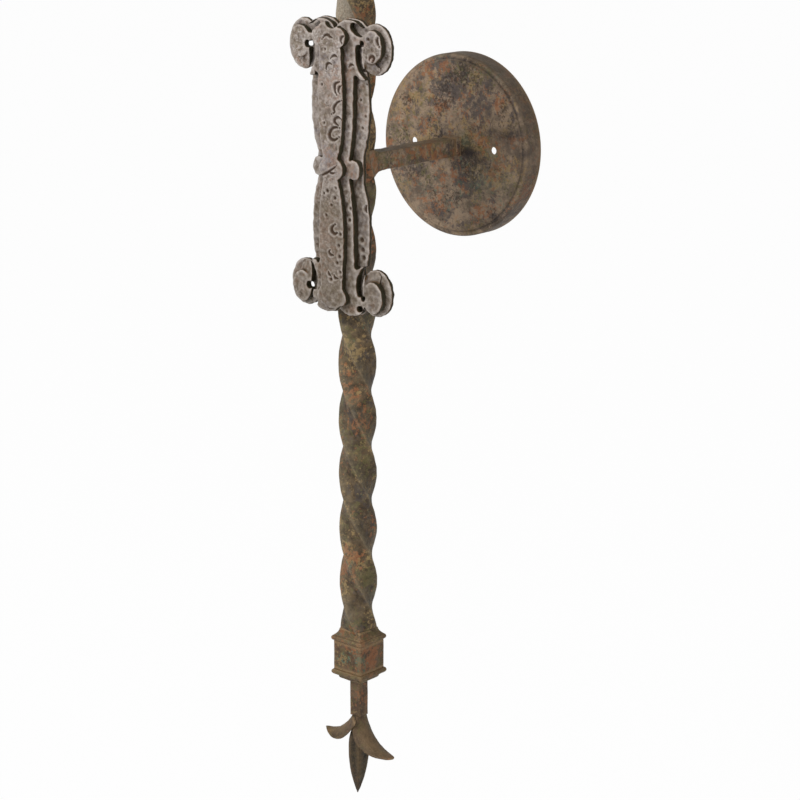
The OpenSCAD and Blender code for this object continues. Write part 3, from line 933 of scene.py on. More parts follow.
@dataclass
class Mount:
    """Canopy on the wall and the arm that stands out of it, sizes in millimetres.

    Attributes:
        canopy_r: Radius of the canopy.
        depth: Its depth from the wall to its face.
        wall: Thickness of its sheet.
        edge_r: Radius of its rolled edge.
        hole_span: Distance between its two fixing holes.
        hole_r: Radius of a fixing hole.
        step_in: Distance from the rolled edge to the step in the face.
        step: Height of the step.
        step_len: Length over which the step rises.
        tenon_r: Radius of the bore for the arm.
        ferrule: Length of the ferrule.
        ferrule_lip: Width that it stands out past the arm.
        arm_half: Half side of the arm.
        swell_out: Width that the arm has gained where it meets the bar's axis.
        swell_start: Distance from the bar's axis at which the swell is full.
        swell_len: Length of the swell.
    """

    canopy_r: float = 64.0
    depth: float = 16.5
    wall: float = 1.5
    edge_r: float = 2.5
    hole_span: float = 71.0
    hole_r: float = 2.6
    step_in: float = 1.2
    step: float = 0.7
    step_len: float = 0.9
    tenon_r: float = 4.85
    ferrule: float = 5.0
    ferrule_lip: float = 0.7
    arm_half: float = 6.25
    swell_out: float = 3.4
    swell_start: float = 7.5
    swell_len: float = 13.0

    def canopy(self) -> bpy.types.Object:
        """Spun pan: a flat disc, a quarter round and a rim, with an inner wall, turned round Y.

        The profile runs up the outside to the centre and back inside it. Its
        rolled edge lies a small step behind the disc. Two round holes and the
        arm's bore are cut through afterwards.

        Returns:
            The new object.
        """
        quarter = np.linspace(0, math.pi / 2, 12)
        inner_edge = self.edge_r - self.wall
        near_step = np.linspace(self.edge_r + 0.4, self.edge_r + 7, 18)
        to_centre = np.linspace(self.edge_r + 8.5, self.canopy_r - 1, 44)
        flat = np.concatenate([near_step, to_centre])
        step = self.step * (1 - eased((flat - self.edge_r - self.step_in) / self.step_len))
        outer_r = [np.full(8, self.canopy_r), self.canopy_r - self.edge_r * (1 - np.cos(quarter)),
                   self.canopy_r - flat]
        outer_h = [np.linspace(0, self.depth - self.edge_r - 1.2, 8),
                   self.depth - self.step - self.edge_r * (1 - np.sin(quarter)), self.depth - step]
        inside = self.canopy_r - self.wall
        inner_r = [np.linspace(1, inside - inner_edge, 20),
                   inside - inner_edge * (1 - np.cos(quarter[::-1])), np.full(6, inside)]
        inner_h = [np.full(20, self.depth - self.wall),
                   self.depth - self.wall - inner_edge * (1 - np.sin(quarter[::-1])),
                   np.linspace(self.depth - self.edge_r - 0.6, 0, 6)]
        radii, heights = np.concatenate(outer_r + inner_r), np.concatenate(outer_h + inner_h)
        pan = revolve("canopy_pan", radii, heights, 180, capped=False)
        pan.data.transform(Matrix.Rotation(math.pi / 2, 4, "X"))
        holes = [(side * self.hole_span / 2, self.hole_r) for side in (-1, 1)] + [(0, self.tenon_r)]
        for x, radius in holes:
            self.bore(pan, x, radius)
        return pan

    def bore(self, piece: bpy.types.Object, x: float, radius: float) -> None:
        """Cuts a round hole along Y through a piece.

        Args:
            piece: Piece to cut.
            x: Place of the hole's axis along the wall.
            radius: Radius of the hole.
        """
        heights = np.array([-5.0, self.depth + 5])
        drill = revolve("drill", np.full(2, radius), heights, 48, capped=True)
        drill.data.transform(Matrix.Rotation(math.pi / 2, 4, "X"))
        drill.data.transform(Matrix.Translation((x * MM, 0, 0)))
        cut = piece.modifiers.new("bore", "BOOLEAN")
        cut.operation, cut.object, cut.solver = "DIFFERENCE", drill, "EXACT"
        bake_modifiers(piece)
        bpy.data.objects.remove(drill)

    def square_along_y(self, name: str, places: Array, halves: Array) -> bpy.types.Object:
        """Square bar along Y whose half side changes from place to place.

        Args:
            name: Name of the piece.
            places: Places along Y.
            halves: Half sides there.

        Returns:
            The new object.
        """
        angles = corner_angles(48)
        radii = soft_square(angles, hardness=18) * halves[:, None]
        grid = np.stack([radii * np.sin(angles), np.repeat(places[:, None], len(angles), 1),
                         radii * np.cos(angles)], axis=2)
        return loft(name, grid)

    def arm(self) -> bpy.types.Object:
        """Square arm that swells towards the bar by 1 - cos(90 t).

        Returns:
            The new object.
        """
        places = np.linspace(-BAR_OFFSET, -self.depth - self.ferrule, 90)
        out = places + BAR_OFFSET - self.swell_start
        share = np.clip(1 - out / self.swell_len, 0, 1)
        halves = self.arm_half + self.swell_out * (1 - np.cos(math.pi / 2 * share))
        return self.square_along_y("arm_bar", places, halves)

    def ferrule_ring(self) -> bpy.types.Object:
        """Square shoulder that widens to its lip in about a third of its length and stays so.

        Returns:
            The new object.
        """
        places = np.linspace(-self.depth - self.ferrule, -self.depth, 14)
        share = (places + self.depth + self.ferrule) / self.ferrule
        halves = self.arm_half + self.ferrule_lip * eased(share / 0.35)
        return self.square_along_y("arm_shoulder", places, halves)

    def mark_face(self, canopy: bpy.types.Object) -> None:
        """Marks wear, stains and green places, and painted shade at the step and on the rim.

        The painted shade is a bell curve about the step and a slope at the rim, and
        fades out to the left.

        Args:
            canopy: The pan.
        """
        skin = Skin(canopy)
        skin.mark_wear(rounds=6, depth=0.5)
        inwards = self.canopy_r - np.hypot(skin.points[:, 0], skin.points[:, 2])
        # Painted shade: the crevice at the step and the rim, darkened on the right side only.
        step_shade = 0.5 * np.exp(-((inwards - self.edge_r - self.step_in) / 1.3) ** 2)
        rim = 0.45 * eased((1.5 - inwards) / 1.2)
        step_and_rim_shade = (step_shade + rim) * eased(skin.points[:, 0] / 30 + 0.5)
        shadow_and_stain_blots = [blot.share(skin.points) for blot in CANOPY_SHADOW_AND_STAINS]
        skin.mark("stain_and_shade", np.max([step_and_rim_shade, *shadow_and_stain_blots], axis=0))
        skin.mark("tint", np.max([blot.share(skin.points) for blot in CANOPY_GREENS], axis=0))

    def build(self, box: Paintbox) -> None:
        """Makes and dresses the mount.

        Args:
            box: The finishes.
        """
        canopy = self.canopy()
        self.mark_face(canopy)
        shade_by_angle(canopy, 40)
        box.stand_in(canopy, Finish.CANOPY_IRON, Slot.IRON, "canopy")
        for piece, node in ((self.arm(), "arm"), (self.ferrule_ring(), "arm_ferrule")):
            Wear(Forging(blow=0.25, blow_size=6, seed=11), depth=1.0).apply(piece)
            box.stand_in(piece, Finish.CANOPY_IRON, Slot.IRON, node)
        box.dress_nodes(Finish.STEEL, "arm_washer", "arm_nut")
        box.dress_nodes(Finish.BRASS, "ground_screw")


def bake_modifiers(piece: bpy.types.Object) -> None:
    """Puts the result of a piece's modifiers into its mesh and removes them.

    Args:
        piece: The piece.
    """
    graph = bpy.context.evaluated_depsgraph_get()
    result = bpy.data.meshes.new_from_object(piece.evaluated_get(graph))
    piece.modifiers.clear()
    piece.data = result


def shade_by_angle(piece: bpy.types.Object, degrees: float) -> None:
    """Keeps edges sharp where two faces turn by more than an angle.

    Args:
        piece: The piece.
        degrees: The angle.
    """
    work = bmesh.new()
    work.from_mesh(piece.data)
    for face in work.faces:
        face.smooth = True
    for edge in work.edges:
        edge.smooth = len(edge.link_faces) == 2 and edge.calc_face_angle(0) < math.radians(degrees)
    work.to_mesh(piece.data)
    work.free()


@dataclass
class TwistedBar:
    """Tall square bar with a regular twist, sizes in millimetres.

    Attributes:
        half: Half its side.
        quarter_turn: Height in which it turns by 90 degrees.
        phase: Its turn at the arm's axis, in degrees.
        foot: Height of its lower end.
        head: Height of its upper end.
        hardness: Hardness of its corners.
        lit_facets_face: Direction that the facets with a painted highlight face.
        lit_facets_from: Height above which they take the painted highlight.
    """

    half: float = 9.5
    quarter_turn: float = 39.1
    phase: float = 42.0
    foot: float = -336.3
    head: float = 135.5
    hardness: float = 26.0
    lit_facets_face: tuple[float, float, float] = (-0.6, -0.8, 0.0)
    lit_facets_from: float = 90.0

    def build(self, box: Paintbox) -> None:
        """Makes and dresses the bar.

        It is a soft square whose angle falls by 90 degrees every quarter turn of height.

        Args:
            box: The finishes.
        """
        heights = np.linspace(self.foot, self.head, 360)
        angles = corner_angles(80)
        turn = np.radians(self.phase - 90 * heights / self.quarter_turn)[:, None]
        radii = self.half * soft_square(angles, self.hardness)
        grid = np.stack([radii * np.cos(angles + turn),
                         radii * np.sin(angles + turn) - BAR_OFFSET,
                         np.repeat(heights[:, None], len(angles), 1)], axis=2)
        bar = loft("twisted_square_bar", grid)
        Wear(Forging(blow=0.14, wave=0.18, scale=0.12, seed=5), rounds=10, depth=0.6).apply(bar)
        skin = Skin(bar)
        # Painted highlight: the facets that face the key lamp's side are lightened.
        lit_facing = eased((skin.normals() @ np.array(self.lit_facets_face) - 0.55) / 0.3)
        skin.mark("tint", 0.8 * lit_facing * eased((skin.points[:, 2] - self.lit_facets_from) / 8))
        box.stand_in(bar, Finish.FRAME_IRON, Slot.IRON, "twisted_bar")


@dataclass(frozen=True)
class Cut:
    """A graver's or punch's mark in a plate's front, with a raised lip round it.

    Attributes:
        path: Places along the wall and over the arm's axis, in millimetres. A
            punch mark has one.
        half: Half width of the mark.
        depth: Depth of its middle.
        lip: Height of its lip.
        dark: Share by which it is darkened, as dark patina and painted shade in the cut.
    """

    path: tuple[tuple[float, float], ...]
    half: float = 0.9
    depth: float = 0.8
    lip: float = 0.2
    dark: float = 1.0

    def widths_away(self, places: Array) -> Array:
        """Distance from the path, counted in its half width there.

        The path's corners are rounded off by three rounds of cutting them at a
        quarter and three quarters, and its half width follows
        0.6 + 0.7 sin(180 t) with the share t of the way along it.

        Args:
            places: Places along the wall and over the arm's axis, one row each.

        Returns:
            The distances, and 99 for places that are far off.
        """
        path = np.array(self.path)
        if len(path) == 1:
            return np.hypot(*(places - path[0]).T) / self.half
        for _ in range(3):
            early = path[:-1] + (path[1:] - path[:-1]) * 0.25
            late = path[:-1] + (path[1:] - path[:-1]) * 0.75
            between = np.stack([early, late], 1).reshape(-1, 2)[1:-1]
            path = np.vstack([path[:1], between, path[-1:]])
        reach = np.ptp(path, axis=0) / 2 + 4 * self.half + 2
        near = np.all(np.abs(places - path.mean(0)) < reach, axis=1)
        away = np.full(len(places), 99.0)
        gaps = np.hypot(*np.moveaxis(places[near, None] - path, 2, 0))
        width = self.half * (0.6 + 0.7 * np.sin(np.pi * np.linspace(0.04, 0.96, len(path))))
        away[near] = (gaps / width).min(1)
        return away

    def share(self, places: Array) -> Array:
        """Share of the full depth at each place: 1 - d^2, with d the distance in half widths."""
        return np.clip(1 - self.widths_away(places) ** 2, 0, 1)

    def height(self, places: Array) -> Array:
        """Height at each place: the cut, and a bell-shaped lip 1.6 half widths from its middle."""
        ring = np.exp(-((self.widths_away(places) - 1.6) / 0.45) ** 2)
        return self.lip * ring - self.depth * self.share(places)


def punches(half: float, depth: float, *places: tuple[float, float]) -> tuple[Cut, ...]:
    """Punch marks of one size at several places."""
    return tuple(Cut((place,), half, depth, lip=0.22, dark=0.4) for place in places)


PLATE_RUST = (Blot(24, -6.4, 2.4, 1.6, 1.0), Blot(26, 83.6, 2.0, 1.6, 0.8),
              Blot(33, 73.5, 2.4, 2.0, 0.7), Blot(24.5, -66, 3.0, 2.2, 0.8),
              Blot(-11, 93, 3.5, 2.0, 0.5), Blot(17, -93, 6.0, 2.0, 0.5))
FRONT_CUTS = (
    Cut(((-5.4, 84.4), (-3.2, 87.3), (-0.1, 87.7), (1.7, 86.3), (3.5, 86.2))),
    Cut(((11.6, 82.9), (10.4, 85.1), (11.3, 86.9), (13.4, 87.7)), 1.1, 1.0),
    Cut(((1.9, 72.5), (3.4, 74.4), (6.0, 74.8), (7.4, 73.9))),
    Cut(((-1.9, 63.9), (-2.0, 67.1), (-1.3, 69.0), (1.2, 69.6), (2.8, 68.8)), 0.75),
    Cut(((9.6, 57.9), (6.4, 57.1), (4.8, 54.7), (5.5, 51.5), (7.0, 49.3)), 1.0, 0.9),
    Cut(((11.4, 55.7), (8.9, 54.6), (8.3, 51.7), (9.5, 50.4))),
    Cut(((11.3, 45.9), (7.5, 44.7), (5.1, 42.1), (3.8, 39.7), (5.6, 38.0), (2.5, 36.3)), 0.95, 0.9),
    Cut(((-1.8, 43.3), (-0.5, 41.6)), 0.7),
    Cut(((11.2, 33.4), (8.8, 35.0), (5.6, 34.2), (4.4, 31.8), (6.2, 30.1), (8.7, 29.4)), 1.0, 0.95),
    Cut(((9.3, 28.0), (4.9, 28.1), (1.2, 25.9), (-0.1, 22.4), (1.1, 19.7), (4.9, 19.2), (8.7, 21.9)),
        1.2, 1.05),
    Cut(((-11.9, -9.6), (-7.4, -5.3), (-1.0, -2.2), (3.5, 0.6), (6.6, 2.9)), 0.8, 0.7),
    Cut(((-1.0, -2.2), (2.7, -2.8), (5.3, -2.0)), 0.75, 0.6),
    Cut(((5.0, -36.3), (1.8, -38.5), (1.8, -41.4), (4.3, -43.1), (6.8, -41.8)), 1.2, 1.0, 0.3),
    Cut(((0.4, -54.1), (-0.9, -55.7), (1.0, -57.4), (2.9, -57.4)), 1.0, 0.9, 0.28),
    Cut(((-1.2, -68.9), (-1.0, -70.6), (1.1, -72.0)), 0.9, 0.8, 0.25),
    Cut(((3.8, -70.6), (4.2, -72.5), (6.9, -72.5)), 0.9, 0.8, 0.25),
    *punches(1.1, 0.6, (-2.7, 78.3), (-4.6, -16.5), (1.6, -23.8), (5.7, -12.0), (-8.2, -18.9),
             (-2.9, -31.0), (-6.0, 55.0), (-4.0, 30.0), (-8.0, 12.0)),
    *punches(1.5, 0.9, (-1.8, -14.6), (4.5, -18.7), (-10.1, -24.7), (9.4, -42.4), (8.1, -50.2),
             (9.2, -68.4), (9.8, -71.2), (0.8, -73.9), (6.4, -62.0), (8.6, -57.5)))
SCROLL_CUTS = (
    Cut(((13.8, 67.4), (15.1, 69.4), (17.6, 69.1)), 1.0, 0.8),
    Cut(((39.0, 89.5), (37.1, 85.7), (39.6, 82.3)), 1.2, 0.9, 0.35),
    Cut(((31.1, 73.4), (31.7, 75.3), (34.1, 75.9), (35.3, 74.6), (33.4, 71.7)), 1.1, 1.1, 0.3),
    *punches(1.3, 0.8, (14.3, -25.3), (16.5, -20.0), (13.4, -33.1), (14.1, 6.8), (30.0, 86.5)))
REAR_CUTS = (
    Cut(((24.2, 56.6), (26.1, 55.0)), 1.0, 0.8),
    Cut(((23.3, -23.3), (22.2, -25.7), (23.4, -27.3)), 1.2, 1.0, 0.3),
    *punches(1.1, 0.6, (20.6, 27.9), (23.2, 35.9), (18.9, 46.0)),
    *punches(1.8, 0.9, (19.3, -46.5), (20.2, -53.2), (21.0, -58.4)))


# ------------------------------------------------------------------------ forms


@dataclass(frozen=True)
class Form:
    """Solid given by a formula: how far a place is outside it, negative inside, in millimetres.

    A union is the least of two formulas, a common part the greatest, and a
    difference the greatest of one and the other's opposite.

    Attributes:
        at: The formula, from places, one row each, to distances.
    """

    at: Callable[[Array], Array]

    def __or__(self, other: Form) -> Form:
        """Union with another form."""
        return Form(lambda places: np.minimum(self.at(places), other.at(places)))

    def __and__(self, other: Form) -> Form:
        """Common part with another form."""
        return Form(lambda places: np.maximum(self.at(places), other.at(places)))

    def __sub__(self, other: Form) -> Form:
        """This form without another."""
        return Form(lambda places: np.maximum(self.at(places), -other.at(places)))

    def mirrored(self, x: int, z: int) -> Form:
        """The form with its x and z each multiplied by a sign, 1 or -1."""
        return Form(lambda places: self.at(places * (x, 1, z)))

    def thick(self, back: float, front: float, edge: float, shift: float = 0.0) -> Form:
        """Plate with this outline and rounded edges.

        With a and b the distances outside the outline and outside the middle
        layer, both moved in by the edge, it is hypot(a, b) less the edge.

        Args:
            back: Y of its rear face, in millimetres.
            front: Y of its front face.
            edge: Radius of its edges.
            shift: Shift of the outline to the right.

        Returns:
            The plate.
        """
        def away(places: Array) -> Array:
            """Distance outside the plate."""
            a = self.at(places - (shift, 0, 0)) + edge
            b = np.abs(places[:, 1] - (back + front) / 2) - (back - front) / 2 + edge
            outside = np.hypot(np.maximum(a, 0), np.maximum(b, 0))
            return np.minimum(np.maximum(a, b), 0) + outside - edge
        return Form(away)

    def skin(self, name: str, low: Sequence[float], high: Sequence[float],
             voxel: float) -> bpy.types.Object:
        """Closed mesh of the form, with one point in every cell that its surface crosses.

        The formula is taken at the corners of a cubic lattice. A cell's point
        is the mean of the places where its edges cross the surface, and four
        cells round a crossed edge share a face.

        Args:
            name: Name of the piece.
            low: Lowest corner of the lattice, in millimetres.
            high: Highest corner.
            voxel: Side of a cell.

        Returns:
            The new object.
        """
        axes = [np.arange(start - voxel, stop + 2 * voxel, voxel) for start, stop in zip(low, high)]
        place = np.stack(np.meshgrid(*axes, indexing="ij"), axis=3)
        value = self.at(place.reshape(-1, 3)).reshape(place.shape[:3])
        cells = tuple(size - 1 for size in value.shape)
        total, count, crossings = np.zeros(cells + (3,)), np.zeros(cells), []
        for axis in range(3):
            first = tuple(slice(0, -1) if k == axis else slice(None) for k in range(3))
            second = tuple(slice(1, None) if k == axis else slice(None) for k in range(3))
            here, there = value[first], value[second]
            crossed = (here < 0) != (there < 0)
            share = np.where(crossed, here / np.where(crossed, here - there, 1), 0)
            point = (place[first] + share[..., None] * voxel * np.eye(3)[axis]) * crossed[..., None]
            for steps in product((0, 1), repeat=2):
                offset = np.insert(steps, axis, 0)
                window = tuple(slice(step, step + size) for step, size in zip(offset, cells))
                total += point[window]
                count += crossed[window]
            crossings.append((np.argwhere(crossed), here[crossed] < 0))
        used = count > 0
        number = np.cumsum(used).reshape(cells) - 1
        faces = []
        for axis, (edges, outward) in enumerate(crossings):
            ring = np.stack([edges] * 4, axis=1)
            for k, steps in enumerate(((1, 1), (0, 1), (0, 0), (1, 0))):
                ring[:, k, (axis + 1) % 3] -= steps[0]
                ring[:, k, (axis + 2) % 3] -= steps[1]
            quads = number[tuple(np.moveaxis(ring, 2, 0))]
            faces.append(np.where(outward[:, None], quads, quads[:, ::-1]))
        return add_piece(name, total[used] / count[used][:, None], np.concatenate(faces).tolist())


def oval(x: float, z: float, half_x: float, half_z: float) -> Form:
    """Ellipse: with q the distance in half widths, about q (q - 1) over q's slope.

    Args:
        x: Place of its middle along the wall.
        z: Height of its middle.
        half_x: Half width.
        half_z: Half height.

    Returns:
        The form.
    """
    def away(places: Array) -> Array:
        """Distance outside the ellipse."""
        u, v = (places[:, 0] - x) / half_x, (places[:, 2] - z) / half_z
        q = np.hypot(u, v)
        return q * (q - 1) / np.maximum(np.hypot(u / half_x, v / half_z), 1e-9)
    return Form(away)


def tilted(form: Form, x: float, z: float, degrees: float) -> Form:
    """Turns a form that was made round the origin to the left and moves it to a place.

    Args:
        form: The form.
        x: Place along the wall.
        z: Height.
        degrees: Its turn.

    Returns:
        The turned form.
    """
    c, s = math.cos(math.radians(degrees)), math.sin(math.radians(degrees))

    def away(places: Array) -> Array:
        """Distance outside the form at the places turned back."""
        u, v = places[:, 0] - x, places[:, 2] - z
        return form.at(np.stack([c * u + s * v, places[:, 1], c * v - s * u], axis=1))
    return Form(away)


def block(x0: float, z0: float, x1: float, z1: float) -> Form:
    """Rectangle between two corners.

    Args:
        x0: Left side.
        z0: Lower side.
        x1: Right side.
        z1: Upper side.

    Returns:
        The form.
    """
    return Form(lambda places: np.maximum(
        np.abs(places[:, 0] - (x0 + x1) / 2) - (x1 - x0) / 2,
        np.abs(places[:, 2] - (z0 + z1) / 2) - (z1 - z0) / 2))


def polygon(*corners: tuple[float, float]) -> Form:
    """Polygon: distance to its nearest edge, negative where a ray crosses an odd number of edges.

    Args:
        *corners: Its corners in order.

    Returns:
        The form.
    """
    def away(places: Array) -> Array:
        """Distance outside the polygon."""
        nearest, inside = np.full(len(places), 999.0), np.zeros(len(places), bool)
        for start, stop in zip(np.array(corners), np.roll(corners, -1, axis=0)):
            edge, gap = stop - start, places[:, [0, 2]] - start
            share = np.clip(gap @ edge / (edge @ edge), 0, 1)
            nearest = np.minimum(nearest, np.hypot(*(gap - share[:, None] * edge).T))
            spans = (places[:, 2] >= start[1]) != (places[:, 2] >= stop[1])
            inside ^= spans & (gap[:, 0] < gap[:, 1] * edge[0] / (edge[1] or 1))
        return np.where(inside, -nearest, nearest)
    return Form(away)


@dataclass(frozen=True)
class Volute:
    """One corner of the cartouche, with outlines counted outwards from the plates' middle.

    Attributes:
        left: Whether it is on the left.
        foot: Whether it is at the foot.
        x: Distance of its centre from the middle, in millimetres.
        half_x: Half its width.
    """

    left: bool
    foot: bool
    x: float = 31.0
    half_x: float = 13.7

    @property
    def z(self) -> float:
        """Height of its centre over the middle of the cartouche."""
        return 81.1 if self.foot else 79.4

    @property
    def half_z(self) -> float:
        """Half its height."""
        return 16.0 if self.foot else 16.8

    def near(self, x: float, z: float, half_x: float, half_z: float) -> Form:
        """Oval at an offset from its centre."""
        return oval(self.x + x, self.z + z, half_x, half_z)

    def placed(self, form: Form) -> Form:
        """A form of this corner, mirrored to where the corner is."""
        return form.mirrored(-1 if self.left else 1, -1 if self.foot else 1)

    @property
    def hump_x(self) -> float:
        """Distance of the hump's middle from the middle of the plates."""
        return 9.0 if self.left and self.foot else 12.0

    @property
    def hump_z(self) -> float:
        """Height of the hump's middle."""
        return self.z + (6.7 if self.foot else 8.2)

    def hump(self, drop: float) -> Form:
        """Hump between the volutes, lowered by a drop."""
        return oval(self.hump_x, self.hump_z, 13.5 - drop, 11 - drop)

    def opening(self) -> Form:
        """Small opening in the rear ring."""
        x, z = (-3.0, 2.0) if self.left and self.foot else (-4.3, 0.2)
        return self.near(x, z, half_x=3.3, half_z=2.0)

    def eye(self) -> Form:
        """Eye at the neck's side of the lobe; on the left a wider mouth.

        Returns:
            The form.
        """
        if not self.left:
            return self.near(-7.6, 3.6, half_x=1.9, half_z=1.9)
        x, z = (-6.2, 0.8) if self.foot else (-6.5, 0.5)
        return self.near(x, z, half_x=2.3, half_z=2.3)

    def lobe(self) -> Form:
        """Raised lobe."""
        return self.near(0.3, 2.1, half_x=8.6, half_z=10.8)

    def core(self) -> Form:
        """Oval that bounds the crescent slot on the volute's side."""
        return self.near(5.4, -3.6, half_x=13.7, half_z=16.8)

    def slot(self) -> Form:
        """Crescent slot between neck and volute."""
        side = block(0, self.z - 22, self.x + 1, self.z + 2.7)
        return (self.near(0.8, -3.6, half_x=14.3, half_z=16.8) & side) - self.core() - self.lobe()

    def comma(self) -> Form:
        """Comma-shaped opening between hump and volute."""
        x, z, half_x, half_z = (-10.6, 11.2, 2.6, 2.2) if self.foot else (-12.2, 12.2, 6.4, 3.3)
        return tilted(oval(0, 0, half_x, half_z), self.x + x, self.z + z, -30)

    def neck(self) -> Form:
        """Neck and tongue of the middle plate: a polygon whose tongue ends in an arc.

        Returns:
            The form.
        """
        tip_x = self.x - 6.3 - (3.7 if self.left else 0)
        tip_z = self.z - (16.4 if self.foot else 18.4)
        tip_r = 1.7
        arc = [(tip_x + tip_r * math.cos(a), tip_z + tip_r * math.sin(a))
               for a in np.radians(np.linspace(-110, 60, 7))]
        return polygon((-1, 42), (15.2, 42), (15.8, tip_z), (17.3, tip_z + 1.2),
                       (tip_x - 3.3, tip_z - 1.2), *arc, (tip_x - 1.6, self.z + 7),
                       (self.hump_x, self.hump_z + 1), (-1, self.hump_z + 1))

    def tail(self, back: float, front: float) -> Form:
        """Tail from ring to lobe, whose top climbs evenly by one thickness over its length.

        Args:
            back: Y of the plate's rear face, in millimetres.
            front: Y of its front face.

        Returns:
            The tail.
        """
        start_x, start_z, length, turn = 4.4, -14.4, 15.5, math.radians(37)
        outline = (self.near(0, 0, self.half_x - 0.1, self.half_z - 0.1) & self.core()
                   & block(self.x - self.half_x, self.z - self.half_z, self.x + start_x, self.z + 2.1))
        if not self.foot:
            outline = outline - self.near(4.3, -8.4, half_x=2.8, half_z=2.8)
        if self.left:
            outline = outline - self.eye()
        slope = (back - front) / length

        def over(places: Array) -> Array:
            """Distance above the slope."""
            along = (math.cos(turn) * (places[:, 2] - self.z - start_z)
                     - math.sin(turn) * (places[:, 0] - self.x - start_x))
            return (back - places[:, 1] - slope * along) / math.hypot(1, slope)
        return outline.thick(back, front, edge=0.5) & Form(over)


@dataclass(frozen=True)
class Plate:
    """One plate of the cartouche, before its form is skinned.

    Attributes:
        node: Node that it stands for.
        name: Name of the new piece.
        form: Its solid.
        reach: Half the width that holds it, in millimetres.
        layer: Its place in the stack, counted from the bar.
        seed: Number of its random fields.
        voxel: Grain of its mesh.
        cuts: Marks in the face that looks away from the wall.
    """

    node: str
    name: str
    form: Form
    reach: float
    layer: int
    seed: int
    voxel: float
    cuts: Sequence[Cut]


@dataclass
class Cartouche:
    """Three cut and hammered plates in front of the bar, sizes in millimetres.

    Attributes:
        faces: Y of the rearmost face and of each plate's front face.
        shifts: Shift of each plate to the right.
        edge: Radius of the plates' edges.
        oval_z: Height of the tall ovals' centres over the middle.
        half_z: Half the height that holds the plates.
        rounding: Rounds of smoothing after a plate is skinned.
    """

    faces: tuple[float, float, float, float] = (-131.685, -135.385, -140.985, -145.785)
    shifts: tuple[float, float, float] = (0.4, 1.2, 1.0)
    edge: float = 0.9
    oval_z: float = 42.0
    half_z: float = 100.0
    rounding: int = 2

    @staticmethod
    def four_ways(part: Callable[[Volute], Form]) -> Form:
        """Joins a part of all four corners.

        Args:
            part: Makes the part of a corner.

        Returns:
            The union.
        """
        corners = [Volute(left, foot) for left, foot in product((False, True), repeat=2)]
        return functools.reduce(operator.or_, [corner.placed(part(corner)) for corner in corners])

    def twin_ovals(self, half_x: float, half_z: float, top: float) -> Form:
        """Two tall ovals, one above the other, that meet in a pinched waist."""
        ovals = oval(0, self.oval_z, half_x, half_z) | oval(0, -self.oval_z, half_x, half_z)
        return ovals & block(-half_x - 1, -top, half_x + 1, top)

    def rear(self) -> Form:
        """Rear plate: ovals, four rings with a small opening each, and the humps.

        Returns:
            The solid.
        """
        outline = (self.twin_ovals(25.5, 54.6, 64.6) | block(-20.2, -87.4, 20.2, 87.4)
                   | self.four_ways(lambda corner: corner.hump(0))
                   | self.four_ways(lambda corner: corner.near(0, 0, corner.half_x, corner.half_z)))
        outline = outline - self.four_ways(Volute.opening)
        return outline.thick(self.faces[0], self.faces[1], self.edge, self.shifts[0])

    def scroll(self) -> Form:
        """Middle plate: strip, waist knobs, necks, humps, volute lobes and their tails.

        Returns:
            The solid.
        """
        humps = self.four_ways(
            lambda corner: corner.hump(0.7) & block(-31, corner.z, 31, corner.z + 22))
        knobs = (block(-18.7, -6, 18.7, 6) | oval(15.2, 0, 5.5, 6.6) | oval(-15.2, 0, 5.5, 6.6))
        outline = (self.twin_ovals(15.2, 53.9, 44) | humps | knobs | self.four_ways(Volute.neck)
                   | self.four_ways(Volute.lobe))
        outline = outline - self.four_ways(Volute.slot) - self.four_ways(Volute.comma)
        outline = outline - self.four_ways(Volute.eye)
        back, front, shift = self.faces[1], self.faces[2], self.shifts[1]
        tails = self.four_ways(lambda corner: corner.tail(back, front))
        return (outline.thick(back, front, self.edge, shift)
                | Form(lambda places: tails.at(places - (shift, 0, 0))))

    def shaft(self) -> Form:
        """Front plate: shaft, waist, ears at both ends and the scoop at the top.

        Returns:
            The solid.
        """
        shoulders = self.four_ways(lambda corner: polygon(
            (-1, 40), (10.8, 40), (10.8, 50), (9.3, 79.4), (-1, 79.4)))
        ears = (oval(6.6, 86.3, 6.6, 6.6) | oval(-9.3, 86.3, 6.6, 6.6)
                | oval(7, -85.9, 5.8, 5.8) | oval(-7, -85.9, 5.8, 5.8))
        outline = (self.twin_ovals(10.8, self.oval_z, self.oval_z) | shoulders | oval(0, 0, 10.5, 8.4)
                   | ears | block(-9.3, 77.4, 6.6, 96.6) & oval(-1.4, 86.3, 11, 10.3)
                   | oval(0, -84.6, 11.4, 9.2))
        outline = outline - oval(1.4, 97.5, 5.6, 5.6)
        return outline.thick(self.faces[2], self.faces[3], self.edge, self.shifts[2])

    def skinned(self, plate: Plate) -> bpy.types.Object:
        """Skins a plate's form, softens and hammers it and cuts its front.

        Args:
            plate: The plate.

        Returns:
            The new object.
        """
        piece = plate.form.skin(plate.name, (-plate.reach, self.faces[plate.layer + 1], -self.half_z),
                                (plate.reach, self.faces[plate.layer], self.half_z), plate.voxel)
        skin = Skin(piece)
        skin.points = skin.relaxed(skin.points, self.rounding)
        skin.write()
        height = Forging(blow=0.36, blow_size=5.0, wave=0.3, wave_size=14, scale=0.32,
                         scale_size=2.6, seed=plate.seed).height(skin.points)
        front = np.clip(-skin.normals()[:, 1], 0, 1)
        places = skin.points[:, [0, 2]]
        height += front * sum(cut.height(places) for cut in plate.cuts)
        skin.press(height)
        # Cuts and punch marks take the hollow colour: dark patina and painted shade in them.
        darkened = np.max([cut.share(places) * cut.dark for cut in plate.cuts], axis=0)
        skin.mark_wear(9, 0.42, cut=front * darkened)
        # Darker and browner towards the bottom of the plates.
        skin.mark("stain_and_shade", 0.55 * eased((20 - skin.points[:, 2]) / 60))
        rust = np.max([blot.share(skin.points) for blot in PLATE_RUST], axis=0)
        skin.mark("tint", front * rust)
        return piece

